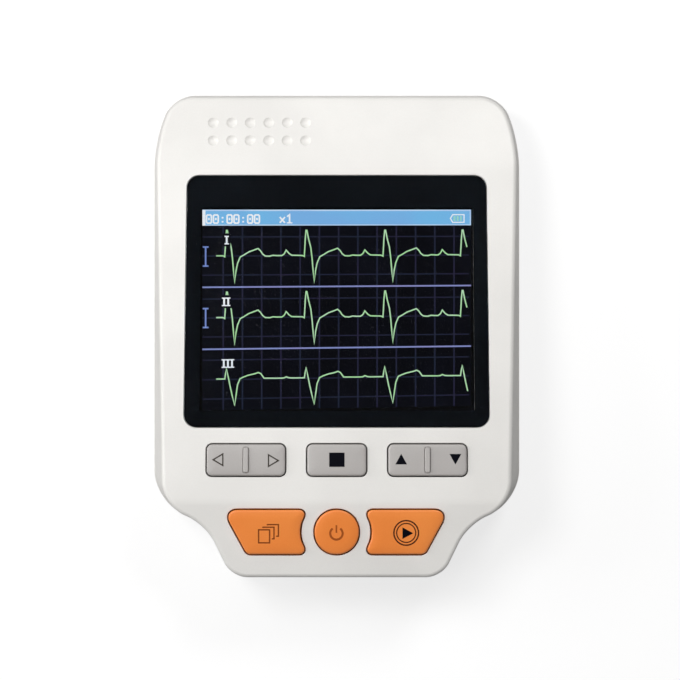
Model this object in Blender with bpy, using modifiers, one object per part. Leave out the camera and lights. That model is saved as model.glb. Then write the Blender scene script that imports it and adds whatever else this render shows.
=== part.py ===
"""A handheld monitor for heart signals, lying on its back with the display up.

Lengths are in metres. The origin is in the middle of the flat rear. +X runs to the reader's
right, +Y to the top end of the device and +Z out of its front. The front is three flat planes.
The middle one is tilted, and carries a frame of its own: u runs to the right in that plane, v up
the device, and a depth is measured square to the plane, into the case.
"""

import bpy
import bmesh
from math import atan2, cos, pi, radians, sin, tan
from mathutils import Matrix, Vector

# Display module. It sets the window's size, and the window sets the case's
DISPLAY_WIDTH = 0.0769
DISPLAY_LENGTH = 0.0639
DISPLAY_THICKNESS = 0.0032
DISPLAY_DROP = 0.00065
BEZEL_WALL = 0.0004
BEZEL_BORDER = 0.0027
PANEL_THICKNESS = 0.0013

# What follows what along the front, from the top end down
SLOPE_LENGTH = 0.0187
LENS_TOP_MARGIN = 0.0032
LENS_END_MARGIN = 0.0010
LENS_TO_KEYS = 0.0038
GREY_HEIGHT = 0.0093
KEY_ROW_GAP = 0.0080
ORANGE_HEIGHT = 0.0119
KEYS_TO_END = 0.0076
CREASE_TO_KEYS = 0.0019
SHOULDER_TO_KEYS = 0.0004

# Margins across the front
LENS_SIDE_MARGIN = 0.0007
LENS_FLARE = 0.0005
CASE_SIDE_MARGIN = 0.00925
TOP_INSET = 0.00415
GRIP_SIDE_MARGIN = 0.0117
NECK_FLARE = 0.0068

# Outline of the case at the seam between its covers
TOP_TAPER = 0.01185
SHOULDER_DROP = 0.0056
TOP_RADIUS = 0.0076
TAPER_RADIUS = 0.0415
SHOULDER_RADIUS = 0.0128
NECK_RADIUS = 0.0119
GRIP_RADIUS = 0.00835

# How far the walls lean in between the seam and the front, and between the seam and the rear
TOP_LEAN = 0.0012
TAPER_LEAN = 0.0013
SIDE_LEAN_AT_TOP = 0.0014
SIDE_LEAN_AT_GRIP = 0.0040
SHOULDER_LEAN = 0.0020
FLANK_LEAN = 0.0017
BOTTOM_LEAN = 0.0021
REAR_LEAN = 0.0030

# The three planes of the front
FACE_TILT = radians(6)
SLOPE_TILT = radians(12)
GRIP_TILT = radians(5)
FACE_EDGE_RADIUS = 0.0010
REAR_EDGE_RADIUS = 0.0022

# Walls, gaps and the lip that joins the covers
FACE_WALL = 0.0025
SIDE_WALL = 0.0025
REAR_WALL = 0.0020
SEAM_GAP = 0.0003
RIM_STEP = 0.00025
LIP_HEIGHT = 0.0012
LIP_WALL = 0.0010
LIP_CLEARANCE = 0.00026
GAP = 0.0003
SEAT_GAP = 0.0001
SMALLEST_RADIUS = 0.0003
OVERRUN = 0.0010
MERGE_DISTANCE = 0.000002

# Lens in its rebate, and what seats the display behind it
LENS_RADIUS = 0.0032
LENS_THICKNESS = 0.0012
LENS_GAP = 0.00015
TAPE_THICKNESS = 0.0002
TAPE_GAP = 0.00005
LEDGE_WIDTH = 0.0014
GASKET_THICKNESS = 0.0004
GASKET_WIDTH = 0.0018
HOLDER_BASE = 0.0010
HOLDER_WALL = 0.0012
HOLDER_TOP_DROP = 0.0005

# Circuit board, and how far its edges keep from the case and the posts
BOARD_THICKNESS = 0.0016
BOARD_SIDE_MARGIN = 0.00765
BOARD_END_MARGIN = 0.0062
BOARD_NECK_MARGIN = 0.00635
BOARD_TIP_MARGIN = 0.00355
BOARD_NECK_GAP = 0.0003
BOARD_POST_GAP = 0.0015
BOARD_STEP_GAP = 0.0040
BOARD_RADIUS = 0.0010

# Keys. Cap outlines are as seen square to the front
KEY_PROUD = 0.0008
KEY_GAP = 0.0004
KEY_EDGE_RADIUS = 0.0005
FLANGE_OVERLAP = 0.0008
FLANGE_THICKNESS = 0.0008
KEY_ROW_INSET = 0.0051
KEY_SPACING = 0.00445
GREY_RADIUS = 0.0014
STOP_WIDTH = 0.0164
ROCKER_CLEARANCE = 0.0010
PLUNGER_INSET = 0.0022
POWER_RADIUS = 0.00593
POWER_SPACING = 0.00117
WAIST_DEPTH = 0.00275
WAIST_RADIUS = 0.0109
ORANGE_NECK_MARGIN = 0.00555
ORANGE_GRIP_MARGIN = 0.0051
ORANGE_OUTER_RADIUS = 0.0032
ORANGE_LOWER_RADIUS = 0.0020
ORANGE_INNER_RADIUS = 0.0010
PLUNGER_RADIUS = 0.0015
KEYPAD_THICKNESS = 0.0005
KEYPAD_MARGIN = 0.0014
KEYPAD_TIP_MARGIN = 0.0015
KEYPAD_POST_GAP = 0.0012
GREY_DOME_HEIGHT = 0.0014
DOME_RADIUS = 0.0028
DOME_TIP_RADIUS = 0.0018
RIDGE_WIDTH = 0.0013
RIDGE_LENGTH = 0.0064
RIDGE_HEIGHT = 0.0003
FULCRUM_WIDTH = 0.0012
FULCRUM_LENGTH = 0.0070

# Blind dimples in the top slope
DIMPLE_RADIUS = 0.00145
DIMPLE_DEPTH = 0.0005
DIMPLE_PITCH = 0.00486
DIMPLE_ROW_PITCH = 0.0048
DIMPLE_TO_SIDE = 0.0120
DIMPLE_TO_END = 0.0080
DIMPLE_COLUMNS = 6
DIMPLE_ROWS = 2

# Battery bay with three AAA cells side by side, and its sliding door
CELL_RADIUS = 0.00525
CELL_LENGTH = 0.0445
CELL_GAP = 0.0004
CELL_COUNT = 3
NUB_RADIUS = 0.0019
NUB_HEIGHT = 0.0008
CELL_CHAMFER = 0.0004
SPRING_SPACE = 0.0040
SPRING_WIRE_RADIUS = 0.00025
SPRING_BASE_RADIUS = 0.0032
SPRING_TIP_RADIUS = 0.0020
CONTACT_THICKNESS = 0.0004
CONTACT_WIDTH = 0.0090
CONTACT_HEIGHT = 0.0085
TAB_WIDTH = 0.0030
BAY_WALL = 0.0012
BAY_TO_END = 0.0072
BAY_TO_BOARD = 0.00051
DOOR_THICKNESS = 0.0016
DOOR_SIDE_MARGIN = 0.00345
DOOR_RAIL = 0.0010
DOOR_LIP = 0.0006
DOOR_OVERLAP = 0.0025
BED_HEIGHT = 0.0030
BED_MARGIN = 0.0012
RIB_COUNT = 5
RIB_PITCH = 0.0022
RIB_WIDTH = 0.0010
RIB_DEPTH = 0.0004
RIB_LENGTH = 0.0180
RIB_MARGIN = 0.0060

# Screws and the bosses that take them
CASE_SCREW_TO_SIDE = 0.00865
CASE_SCREW_TO_TOP = 0.0112
CASE_SCREW_TO_SHOULDER = 0.0068
CASE_SCREW_RADIUS = 0.0011
CASE_SCREW_LENGTH = 0.0096
CASE_HEAD_RADIUS = 0.0020
CASE_HEAD_HEIGHT = 0.0013
CASE_BOSS_RADIUS = 0.0030
CASE_SHELF_HEIGHT = 0.0040
REAR_BOSS_HEIGHT = 0.0080
BOARD_SCREW_TOP_MARGIN = 0.0055
BOARD_SCREW_BOTTOM_MARGIN = 0.0045
BOARD_SCREW_TO_LENS = 0.0049
BOARD_SCREW_RADIUS = 0.0009
BOARD_SCREW_LENGTH = 0.0060
BOARD_HEAD_RADIUS = 0.0017
BOARD_HEAD_HEIGHT = 0.0011
BOARD_BOSS_RADIUS = 0.0023
DRIVE_WIDTH = 0.0005
DRIVE_DEPTH = 0.0006
DRIVE_REACH_SHARE = 0.5
SCREW_CHAMFER = 0.0004
SCREW_CROWN_SHARE = 0.33

# Sockets and components on the board. A drop is measured from the board's top edge
SOCKET_WIDTH = 0.0077
SOCKET_HEIGHT = 0.0038
SOCKET_LENGTH = 0.0092
SOCKET_WALL = 0.0004
SOCKET_RECESS = 0.0007
SOCKET_OPENING_REACH = 0.0030
SOCKET_DEPTH = 0.0060
SOCKET_TONGUE_WIDTH = 0.0040
SOCKET_TONGUE_HEIGHT = 0.0010
USB_DROP = 0.0230
BUZZER_RADIUS = 0.0060
BUZZER_HEIGHT = 0.0032
BUZZER_X = -0.0203
BUZZER_DROP = 0.0065
BUZZER_HOLE_RADIUS = 0.0010
BUZZER_HOLE_DEPTH = 0.0010
PROCESSOR_SIZE = (0.0140, 0.0140)
PROCESSOR_X = -0.0120
PROCESSOR_DROP = 0.0410
MEMORY_SIZE = (0.0110, 0.0180)
MEMORY_X = 0.0080
MEMORY_DROP = 0.0400
CHIP_HEIGHT = 0.0012
CHIP_CHAMFER = 0.0003
SHIELD_SIZE = (0.0300, 0.0160)
SHIELD_X = -0.0100
SHIELD_DROP = 0.0215
SHIELD_HEIGHT = 0.0028
SHIELD_WALL = 0.0004
SHIELD_RADIUS = 0.0010
SHIELD_HOLE_RADIUS = 0.0008
CONNECTOR_SIZE = (0.0220, 0.0030)
CONNECTOR_HEIGHT = 0.0015
RIBBON_WIDTH = 0.0190
RIBBON_THICKNESS = 0.0002
RIBBON_RUN_SHARE = 0.3

# Steps along arcs
OUTLINE_STEPS = (6, 5, 6, 4, 6)
CORNER_STEPS = 4
WAIST_STEPS = 6
FULL_ROUND_STEPS = 32
CYLINDER_STEPS = 16
DIMPLE_STEPS = 12
DIMPLE_RINGS = 10
EDGE_STEPS = 3
KEY_EDGE_STEPS = 2
SPRING_TURNS = 3
SPRING_TURN_STEPS = 8
SPRING_WIRE_STEPS = 1

# Least length that the arcs at its ends leave of an edge, as a share of the edge
SPARE_EDGE_SHARE = 0.02

# How far a form runs on past the front before it is cut, as a share of its own rise
REACH_SHARE = 1.0

# Least upward share of a normal on a cap, and the most on a wall beside it
CAP_SHARE = 0.9
WALL_SHARE = 0.7
SMOOTH_ANGLE = radians(30)

# Depths under the face, from the lens down to the board
TAPE_DEPTH = LENS_THICKNESS + TAPE_GAP
REBATE_DEPTH = TAPE_DEPTH + TAPE_THICKNESS + TAPE_GAP
GASKET_DEPTH = FACE_WALL + SEAT_GAP
DISPLAY_DEPTH = GASKET_DEPTH + GASKET_THICKNESS + SEAT_GAP
HOLDER_DEPTH = DISPLAY_DEPTH + DISPLAY_THICKNESS + GAP
BOARD_DEPTH = HOLDER_DEPTH + HOLDER_BASE + GAP
BOARD_REAR_DEPTH = BOARD_DEPTH + BOARD_THICKNESS
KEYPAD_DEPTH = BOARD_DEPTH - SEAT_GAP - KEYPAD_THICKNESS
ROCKER_FLANGE_DEPTH = FACE_WALL + ROCKER_CLEARANCE
FULCRUM_DEPTH = ROCKER_FLANGE_DEPTH + FLANGE_THICKNESS + GAP
STOP_FLANGE_DEPTH = FACE_WALL + GAP
GREY_PLUNGER_DEPTH = KEYPAD_DEPTH - GREY_DOME_HEIGHT - GAP

# Battery bay, from the door up, and the widths of the grip around it
CELL_PITCH = 2 * CELL_RADIUS + CELL_GAP
BAY_HALF_WIDTH = CELL_COUNT * CELL_PITCH / 2
BAY_LENGTH = CELL_LENGTH + SPRING_SPACE + 2 * (CONTACT_THICKNESS + SEAT_GAP)
CELL_HEIGHT = DOOR_THICKNESS + GAP + CELL_RADIUS
BAY_CEILING = CELL_HEIGHT + CELL_RADIUS + GAP
DOOR_WIDTH = 2 * (BAY_HALF_WIDTH + DOOR_SIDE_MARGIN)
GRIP_WIDTH = 2 * (BAY_HALF_WIDTH + GRIP_SIDE_MARGIN)
NECK_WIDTH = GRIP_WIDTH + 2 * NECK_FLARE

# Widths of the window, the case and the keys
LENS_TOP_WIDTH = DISPLAY_WIDTH + 2 * LENS_SIDE_MARGIN
LENS_BOTTOM_WIDTH = LENS_TOP_WIDTH + LENS_FLARE
BODY_WIDTH = LENS_BOTTOM_WIDTH + 2 * CASE_SIDE_MARGIN
TOP_WIDTH = BODY_WIDTH - 2 * TOP_INSET
KEY_ROW_WIDTH = LENS_TOP_WIDTH - 2 * KEY_ROW_INSET
ROCKER_WIDTH = (KEY_ROW_WIDTH - STOP_WIDTH) / 2 - KEY_SPACING
ROCKER_CENTRE = (KEY_ROW_WIDTH - ROCKER_WIDTH) / 2
ROCKER_PLUNGER_OFFSET = ROCKER_WIDTH / 2 - PLUNGER_INSET
ORANGE_INNER = POWER_RADIUS + POWER_SPACING
ORANGE_OUTER_TOP = NECK_WIDTH / 2 - ORANGE_NECK_MARGIN
ORANGE_OUTER_BOTTOM = GRIP_WIDTH / 2 - ORANGE_GRIP_MARGIN
WAIST_POINT = ORANGE_INNER + WAIST_DEPTH

# Places along the case. GREY_TOP, ORANGE_TOP and the places of the grip and the bay count downwards
LENS_LENGTH = DISPLAY_LENGTH + 2 * LENS_END_MARGIN
FACE_LENGTH = LENS_TOP_MARGIN + LENS_LENGTH + LENS_TO_KEYS + GREY_HEIGHT + KEY_ROW_GAP
BODY_LENGTH = SLOPE_LENGTH + FACE_LENGTH + ORANGE_HEIGHT + KEYS_TO_END
BODY_END = BODY_LENGTH / 2
SLOPE_START = BODY_END - SLOPE_LENGTH
LENS_TOP = SLOPE_START - LENS_TOP_MARGIN
DISPLAY_CENTRE = LENS_TOP - LENS_LENGTH / 2 - DISPLAY_DROP
ORANGE_TOP = BODY_END - KEYS_TO_END - ORANGE_HEIGHT
GREY_TOP = ORANGE_TOP - KEY_ROW_GAP - GREY_HEIGHT
POWER_CENTRE = ORANGE_TOP + ORANGE_HEIGHT / 2
GRIP_START = ORANGE_TOP - CREASE_TO_KEYS
GRIP_LENGTH = KEYS_TO_END + ORANGE_HEIGHT + SHOULDER_TO_KEYS
BAY_BOTTOM = BODY_END - BAY_TO_END
BAY_TOP = BAY_BOTTOM - BAY_LENGTH
DOOR_TOP = BAY_TOP - DOOR_OVERLAP
RIB_START = DOOR_TOP + RIB_MARGIN

# Heights above the rear: the board clears the bay's roof, and the lip clears the front's wall
BOARD_HEIGHT = BAY_CEILING + BAY_WALL + BAY_TO_BOARD - (BAY_TOP - BAY_WALL) * tan(FACE_TILT)
FACE_HEIGHT = BOARD_HEIGHT + BOARD_REAR_DEPTH / cos(FACE_TILT)
SLOPE_HEIGHT = FACE_HEIGHT - SLOPE_START * tan(FACE_TILT)
LIP_INSET = SIDE_WALL - LIP_WALL
LIP_CEILING = SLOPE_HEIGHT - (SLOPE_LENGTH - LIP_INSET) * tan(SLOPE_TILT) - FACE_WALL / cos(SLOPE_TILT)
SEAM_REAR = LIP_CEILING - LIP_CLEARANCE - LIP_HEIGHT
SEAM_FRONT = SEAM_REAR + SEAM_GAP
REBATE_TOP = SEAM_REAR + LIP_HEIGHT + SEAM_GAP

# Places of the screws and outline of the board
CASE_SCREW_X = BODY_WIDTH / 2 - CASE_SCREW_TO_SIDE
CASE_SCREW_TOP = BODY_END - CASE_SCREW_TO_TOP
CASE_SCREW_BOTTOM = BODY_END - GRIP_LENGTH - CASE_SCREW_TO_SHOULDER
BOARD_WIDTH = BODY_WIDTH - 2 * BOARD_SIDE_MARGIN
BOARD_END_WIDTH = 2 * (CASE_SCREW_X - CASE_BOSS_RADIUS - BOARD_POST_GAP)
BOARD_NECK_WIDTH = NECK_WIDTH - 2 * BOARD_NECK_MARGIN
BOARD_TIP_WIDTH = GRIP_WIDTH - 2 * BOARD_TIP_MARGIN
BOARD_TOP = BODY_END - BOARD_END_MARGIN
BOARD_BOTTOM = BODY_END - BOARD_END_MARGIN
BOARD_UPPER_STEP = CASE_SCREW_TOP - CASE_BOSS_RADIUS - BOARD_STEP_GAP
BOARD_LOWER_STEP = CASE_SCREW_BOTTOM - CASE_BOSS_RADIUS - BOARD_STEP_GAP
BOARD_NECK = BODY_END - GRIP_LENGTH - BOARD_NECK_GAP
BOARD_SCREW_TOP_X = BOARD_END_WIDTH / 2 - BOARD_SCREW_TOP_MARGIN
BOARD_SCREW_TOP = LENS_TOP + BOARD_SCREW_TO_LENS
BOARD_SCREW_BOTTOM_X = BOARD_END_WIDTH / 2 - BOARD_SCREW_BOTTOM_MARGIN
BOARD_SCREW_BOTTOM = ORANGE_TOP - KEY_ROW_GAP / 2
KEYPAD_NECK_WIDTH = 2 * (BOARD_SCREW_BOTTOM_X - BOARD_BOSS_RADIUS - KEYPAD_POST_GAP)
KEYPAD_TIP_WIDTH = BOARD_TIP_WIDTH - 2 * KEYPAD_TIP_MARGIN
CASE_SCREWS = [
    (CASE_SCREW_X, CASE_SCREW_TOP),
    (-CASE_SCREW_X, CASE_SCREW_TOP),
    (CASE_SCREW_X, -CASE_SCREW_BOTTOM),
    (-CASE_SCREW_X, -CASE_SCREW_BOTTOM),
]
BOARD_SCREWS = [
    (BOARD_SCREW_TOP_X, BOARD_SCREW_TOP),
    (-BOARD_SCREW_TOP_X, BOARD_SCREW_TOP),
    (BOARD_SCREW_BOTTOM_X, -BOARD_SCREW_BOTTOM),
    (-BOARD_SCREW_BOTTOM_X, -BOARD_SCREW_BOTTOM),
]

# Colour, roughness and metallic of each material
FINISHES = {
    "white_case_plastic": ((0.84, 0.83, 0.80), 0.45, 0.0),
    "grey_key_plastic": ((0.38, 0.36, 0.34), 0.50, 0.0),
    "orange_key_plastic": ((0.91, 0.28, 0.04), 0.45, 0.0),
    "lens_acrylic": ((0.01, 0.012, 0.015), 0.12, 0.0),
    "adhesive": ((0.03, 0.03, 0.03), 0.8, 0.0),
    "gasket_foam": ((0.04, 0.04, 0.04), 0.9, 0.0),
    "bezel_steel": ((0.62, 0.62, 0.62), 0.35, 1.0),
    "panel_glass": ((0.01, 0.02, 0.05), 0.1, 0.0),
    "backlight_film": ((0.85, 0.85, 0.88), 0.4, 0.0),
    "black_plastic": ((0.03, 0.03, 0.03), 0.5, 0.0),
    "ribbon_film": ((0.45, 0.20, 0.03), 0.4, 0.0),
    "board_laminate": ((0.02, 0.18, 0.07), 0.4, 0.0),
    "keypad_silicone": ((0.55, 0.55, 0.55), 0.7, 0.0),
    "chip_epoxy": ((0.02, 0.02, 0.02), 0.6, 0.0),
    "plated_steel": ((0.70, 0.70, 0.68), 0.3, 1.0),
    "screw_steel": ((0.25, 0.25, 0.26), 0.4, 1.0),
    "cell_jacket": ((0.05, 0.12, 0.30), 0.35, 0.3),
}


def clear_scene():
    """Start with no objects, and give the parts and the cutters a collection each."""
    for thing in list(bpy.data.objects):
        bpy.data.objects.remove(thing, do_unlink=True)
    found = []
    for name in ("handheld_monitor", "cutters"):
        group = bpy.data.collections.new(name)
        bpy.context.scene.collection.children.link(group)
        found.append(group)
    return found


PARTS, CUTTERS = clear_scene()


def material(finish):
    """The finish's material, made the first time that it is asked for."""
    found = bpy.data.materials.get(finish)
    if found:
        return found
    colour, roughness, metallic = FINISHES[finish]
    made = bpy.data.materials.new(finish)
    made.use_nodes = True
    shader = made.node_tree.nodes["Principled BSDF"]
    shader.inputs["Base Color"].default_value = (*colour, 1)
    shader.inputs["Roughness"].default_value = roughness
    shader.inputs["Metallic"].default_value = metallic
    made.diffuse_color = (*colour, 1)
    return made


def empty(name, place, turn=0, parent=None):
    """An empty at a place, turned about X."""
    made = bpy.data.objects.new(name, None)
    made.location = place
    made.rotation_euler.x = turn
    made.parent = parent
    PARTS.objects.link(made)
    return made


FACE = empty("face_frame", (0, 0, FACE_HEIGHT), -FACE_TILT)


def place_mesh(name, bm, parent, origin, group):
    """Turn a bmesh into an object whose origin is at the given place."""
    bmesh.ops.translate(bm, verts=bm.verts, vec=-Vector(origin))
    mesh = bpy.data.meshes.new(name)
    bm.to_mesh(mesh)
    bm.free()
    thing = bpy.data.objects.new(name, mesh)
    thing.parent = parent
    thing.location = origin
    group.objects.link(thing)
    return thing


def new_piece(name, bm, finish, parent=None, origin=(0, 0, 0)):
    """A sub-part with its material."""
    piece = place_mesh(name, bm, parent, origin, PARTS)
    piece.data.materials.append(material(finish))
    piece.data.shade_smooth()
    piece.data.set_sharp_from_angle(angle=SMOOTH_ANGLE)
    return piece


def new_cutter(name, bm, parent=None):
    """A shape that only cuts or joins others."""
    cutter = place_mesh(name, bm, parent, (0, 0, 0), CUTTERS)
    cutter.hide_render = True
    cutter.display_type = "WIRE"
    return cutter


def boolean(piece, other, operation="DIFFERENCE"):
    """Cut a piece with another shape, join the two or keep what they share."""
    step = piece.modifiers.new(other.name, "BOOLEAN")
    step.operation = operation
    step.solver = "EXACT"
    step.object = other


def cross(a, b):
    """The z component of the cross product of two flat vectors."""
    return a.x * b.y - a.y * b.x


def outline(corners):
    """Points along an anticlockwise outline, with an arc at each (x, y, radius, steps) corner."""
    count = len(corners)
    places = [Vector(corner[:2]) for corner in corners]
    runs = [places[(i + 1) % count] - places[i] for i in range(count)]
    turns = [atan2(cross(runs[i - 1], runs[i]), runs[i - 1].dot(runs[i])) for i in range(count)]
    cuts = [corners[i][2] * tan(abs(turns[i]) / 2) for i in range(count)]
    room = []
    for i in range(count):
        wanted = cuts[i] + cuts[(i + 1) % count]
        room.append(min(1, (1 - SPARE_EDGE_SHARE) * runs[i].length / wanted))
    points = []
    for i, (_, _, _, steps) in enumerate(corners):
        back = cuts[i] * min(room[i - 1], room[i])
        before = runs[i - 1].normalized()
        start = places[i] - before * back
        radius = back / tan(turns[i] / 2)
        centre = start + Vector((-before.y, before.x)) * radius
        arm = start - centre
        for step in range(steps + 1):
            points.append(centre + Matrix.Rotation(turns[i] * step / steps, 2) @ arm)
    return points


def inset(corners, depth):
    """Move the edges of an anticlockwise outline inwards, by one depth or by two for each edge."""
    count = len(corners)
    depths = depth if isinstance(depth, list) else [(depth, depth)] * count
    lines = []
    for i, (first, last) in enumerate(depths):
        start = Vector(corners[i][:2])
        end = Vector(corners[(i + 1) % count][:2])
        inwards = Vector((start.y - end.y, end.x - start.x)).normalized()
        start += inwards * first
        end += inwards * last
        lines.append((start, end - start))
    moved = []
    for i, (_, _, radius, steps) in enumerate(corners):
        start, along = lines[i - 1]
        other, across = lines[i]
        meeting = start + along * cross(other - start, across) / cross(along, across)
        change = (depths[i - 1][1] + depths[i][0]) / 2
        if cross(along, across) > 0:
            change = -change
        moved.append((meeting.x, meeting.y, max(radius + change, SMALLEST_RADIUS), steps))
    return moved


def rectangle(left, right, bottom, top, radius=SMALLEST_RADIUS, steps=CORNER_STEPS):
    """Corners of an upright rectangle, anticlockwise."""
    places = ((right, bottom), (right, top), (left, top), (left, bottom))
    return [(x, y, radius, steps) for x, y in places]


def ring(points, height):
    """An outline's points at one height, or at the height that a function gives for each."""
    level = height if callable(height) else lambda point: height
    return [Vector((point.x, point.y, level(point))) for point in points]


def loft(rings):
    """A closed shape through rings that have as many points each, from the lowest ring up."""
    bm = bmesh.new()
    loops = [[bm.verts.new(point) for point in points] for points in rings]
    bm.faces.new(reversed(loops[0]))
    bm.faces.new(loops[-1])
    count = len(loops[0])
    for lower, upper in zip(loops, loops[1:]):
        for i in range(count):
            j = (i + 1) % count
            bm.faces.new((lower[i], lower[j], upper[j], upper[i]))
    bm.normal_update()
    return bm


def plate(outlines, low, high):
    """A flat plate between two heights. Outlines after the first one are its holes."""
    curve = bpy.data.curves.new("flat_outline", "CURVE")
    curve.dimensions = "2D"
    curve.fill_mode = "BOTH"
    curve.extrude = (high - low) / 2
    for points in outlines:
        spline = curve.splines.new("POLY")
        spline.points.add(len(points) - 1)
        for target, point in zip(spline.points, points):
            target.co = (point.x, point.y, 0, 1)
        spline.use_cyclic_u = True
    shape = bpy.data.objects.new("flat_outline", curve)
    PARTS.objects.link(shape)
    graph = bpy.context.evaluated_depsgraph_get()
    mesh = bpy.data.meshes.new_from_object(shape.evaluated_get(graph))
    bm = bmesh.new()
    bm.from_mesh(mesh)
    bmesh.ops.remove_doubles(bm, verts=bm.verts, dist=MERGE_DISTANCE)
    bmesh.ops.recalc_face_normals(bm, faces=bm.faces)
    bmesh.ops.translate(bm, verts=bm.verts, vec=(0, 0, (low + high) / 2))
    bpy.data.objects.remove(shape)
    bpy.data.curves.remove(curve)
    bpy.data.meshes.remove(mesh)
    return bm


def add_cylinder(bm, x, y, low, high, radius, tip_radius=None, steps=CYLINDER_STEPS):
    """Add an upright cylinder or cone to a bmesh."""
    bmesh.ops.create_cone(
        bm,
        cap_ends=True,
        segments=steps,
        radius1=radius,
        radius2=radius if tip_radius is None else tip_radius,
        depth=high - low,
        matrix=Matrix.Translation((x, y, (low + high) / 2)),
    )


def add_box(bm, low, high):
    """Add a box to a bmesh, from its lowest to its highest corner."""
    low = Vector(low)
    high = Vector(high)
    size = Matrix.Diagonal((*(high - low), 1))
    bmesh.ops.create_cube(bm, size=1, matrix=Matrix.Translation((low + high) / 2) @ size)


def box(low, high):
    """A box on its own."""
    bm = bmesh.new()
    add_box(bm, low, high)
    return bm


def round_edges(bm, edges, radius, steps=EDGE_STEPS):
    """Round the given edges of a bmesh."""
    bmesh.ops.bevel(
        bm,
        geom=edges,
        offset=radius,
        offset_type="OFFSET",
        segments=steps,
        profile=0.5,
        affect="EDGES",
        clamp_overlap=False,
        material=-1,
    )


def edges_between_cap_and_wall(bm, up):
    """The edges where a face that looks up, or down, meets a wall."""
    found = []
    for edge in bm.edges:
        heights = sorted(face.normal.z * up for face in edge.link_faces)
        if heights[0] < WALL_SHARE and heights[-1] > CAP_SHARE:
            found.append(edge)
    return found


def face_planes(depth=0):
    """A point and the normal of each plane of the front, or of the planes at a depth under them."""
    grip_height = FACE_HEIGHT + GRIP_START * tan(FACE_TILT)
    planes = []
    for y, height, tilt in (
        (0, FACE_HEIGHT, FACE_TILT),
        (SLOPE_START, SLOPE_HEIGHT, SLOPE_TILT),
        (-GRIP_START, grip_height, -GRIP_TILT),
    ):
        normal = Vector((0, sin(tilt), cos(tilt)))
        planes.append((Vector((0, y, height)) - normal * depth, normal))
    return planes


def front_height(y):
    """Height of the front at y."""
    return min(spot.z - (y - spot.y) * normal.y / normal.z for spot, normal in face_planes())


def face_place(y, height):
    """A place in the case's frame, as v and height in the face's frame."""
    rise = height - FACE_HEIGHT
    return (
        y * cos(FACE_TILT) - rise * sin(FACE_TILT),
        y * sin(FACE_TILT) + rise * cos(FACE_TILT),
    )


def case_place(v, height):
    """A place in the face's frame, as y and height in the case's frame."""
    return (
        v * cos(FACE_TILT) + height * sin(FACE_TILT),
        FACE_HEIGHT - v * sin(FACE_TILT) + height * cos(FACE_TILT),
    )


def grip_drop(v):
    """How far the grip's plane lies under the face's plane at v."""
    crease, _ = face_place(-GRIP_START, front_height(-GRIP_START))
    return max(0, crease - v) * tan(FACE_TILT + GRIP_TILT)


def case_corners():
    """Corners of the case at the seam, anticlockwise from the grip's right corner."""
    half = [
        (GRIP_WIDTH / 2, -BODY_END, GRIP_RADIUS),
        (NECK_WIDTH / 2, -BODY_END + GRIP_LENGTH - SHOULDER_DROP, NECK_RADIUS),
        (BODY_WIDTH / 2, -BODY_END + GRIP_LENGTH, SHOULDER_RADIUS),
        (BODY_WIDTH / 2, BODY_END - TOP_TAPER, TAPER_RADIUS),
        (TOP_WIDTH / 2, BODY_END, TOP_RADIUS),
    ]
    right = [(*corner, steps) for corner, steps in zip(half, OUTLINE_STEPS)]
    return right + [(-x, y, radius, steps) for x, y, radius, steps in reversed(right)]


def front_corners():
    """Corners of the outline where the walls meet the front."""
    half = [
        (FLANK_LEAN, FLANK_LEAN),
        (SHOULDER_LEAN, SHOULDER_LEAN),
        (SIDE_LEAN_AT_GRIP, SIDE_LEAN_AT_TOP),
        (TAPER_LEAN, TAPER_LEAN),
    ]
    leans = half + [(TOP_LEAN, TOP_LEAN)]
    leans += [(last, first) for first, last in reversed(half)] + [(BOTTOM_LEAN, BOTTOM_LEAN)]
    return inset(case_corners(), leans)


def fronted_form(rings, start_height, start_inset, wall, depth):
    """Loft rings on to the front's outline, and cut the shape off along the front's planes."""
    start = ring(outline(inset(case_corners(), start_inset)), start_height)
    beyond = []
    for low, point in zip(start, outline(inset(front_corners(), wall))):
        high = Vector((point.x, point.y, front_height(point.y)))
        beyond.append(high + (high - low) * REACH_SHARE)
    bm = loft(rings + [start, beyond])
    for spot, normal in face_planes(depth):
        cut = bmesh.ops.bisect_plane(
            bm,
            geom=bm.verts[:] + bm.edges[:] + bm.faces[:],
            dist=MERGE_DISTANCE,
            plane_co=spot,
            plane_no=normal,
            clear_outer=True,
        )
        rim = [item for item in cut["geom_cut"] if isinstance(item, bmesh.types.BMEdge)]
        bmesh.ops.contextual_create(bm, geom=rim)
    bm.normal_update()
    return bm


def split_warped_faces(bm):
    """Make triangles of the walls, because a wall that leans unevenly isn't flat."""
    walls = [face for face in bm.faces if len(face.verts) == 4]
    bmesh.ops.triangulate(bm, faces=walls)
    return bm


def lens_corners():
    """Corners of the lens, a little wider at its lower edge."""
    top = LENS_TOP
    bottom = LENS_TOP - LENS_LENGTH
    places = (
        (LENS_BOTTOM_WIDTH / 2, bottom),
        (LENS_TOP_WIDTH / 2, top),
        (-LENS_TOP_WIDTH / 2, top),
        (-LENS_BOTTOM_WIDTH / 2, bottom),
    )
    return [(x, y, LENS_RADIUS, CORNER_STEPS) for x, y in places]


def grey_corners(centre, width):
    """Corners of a grey key's cap."""
    low = -GREY_TOP - GREY_HEIGHT
    return rectangle(centre - width / 2, centre + width / 2, low, -GREY_TOP, GREY_RADIUS)


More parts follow.
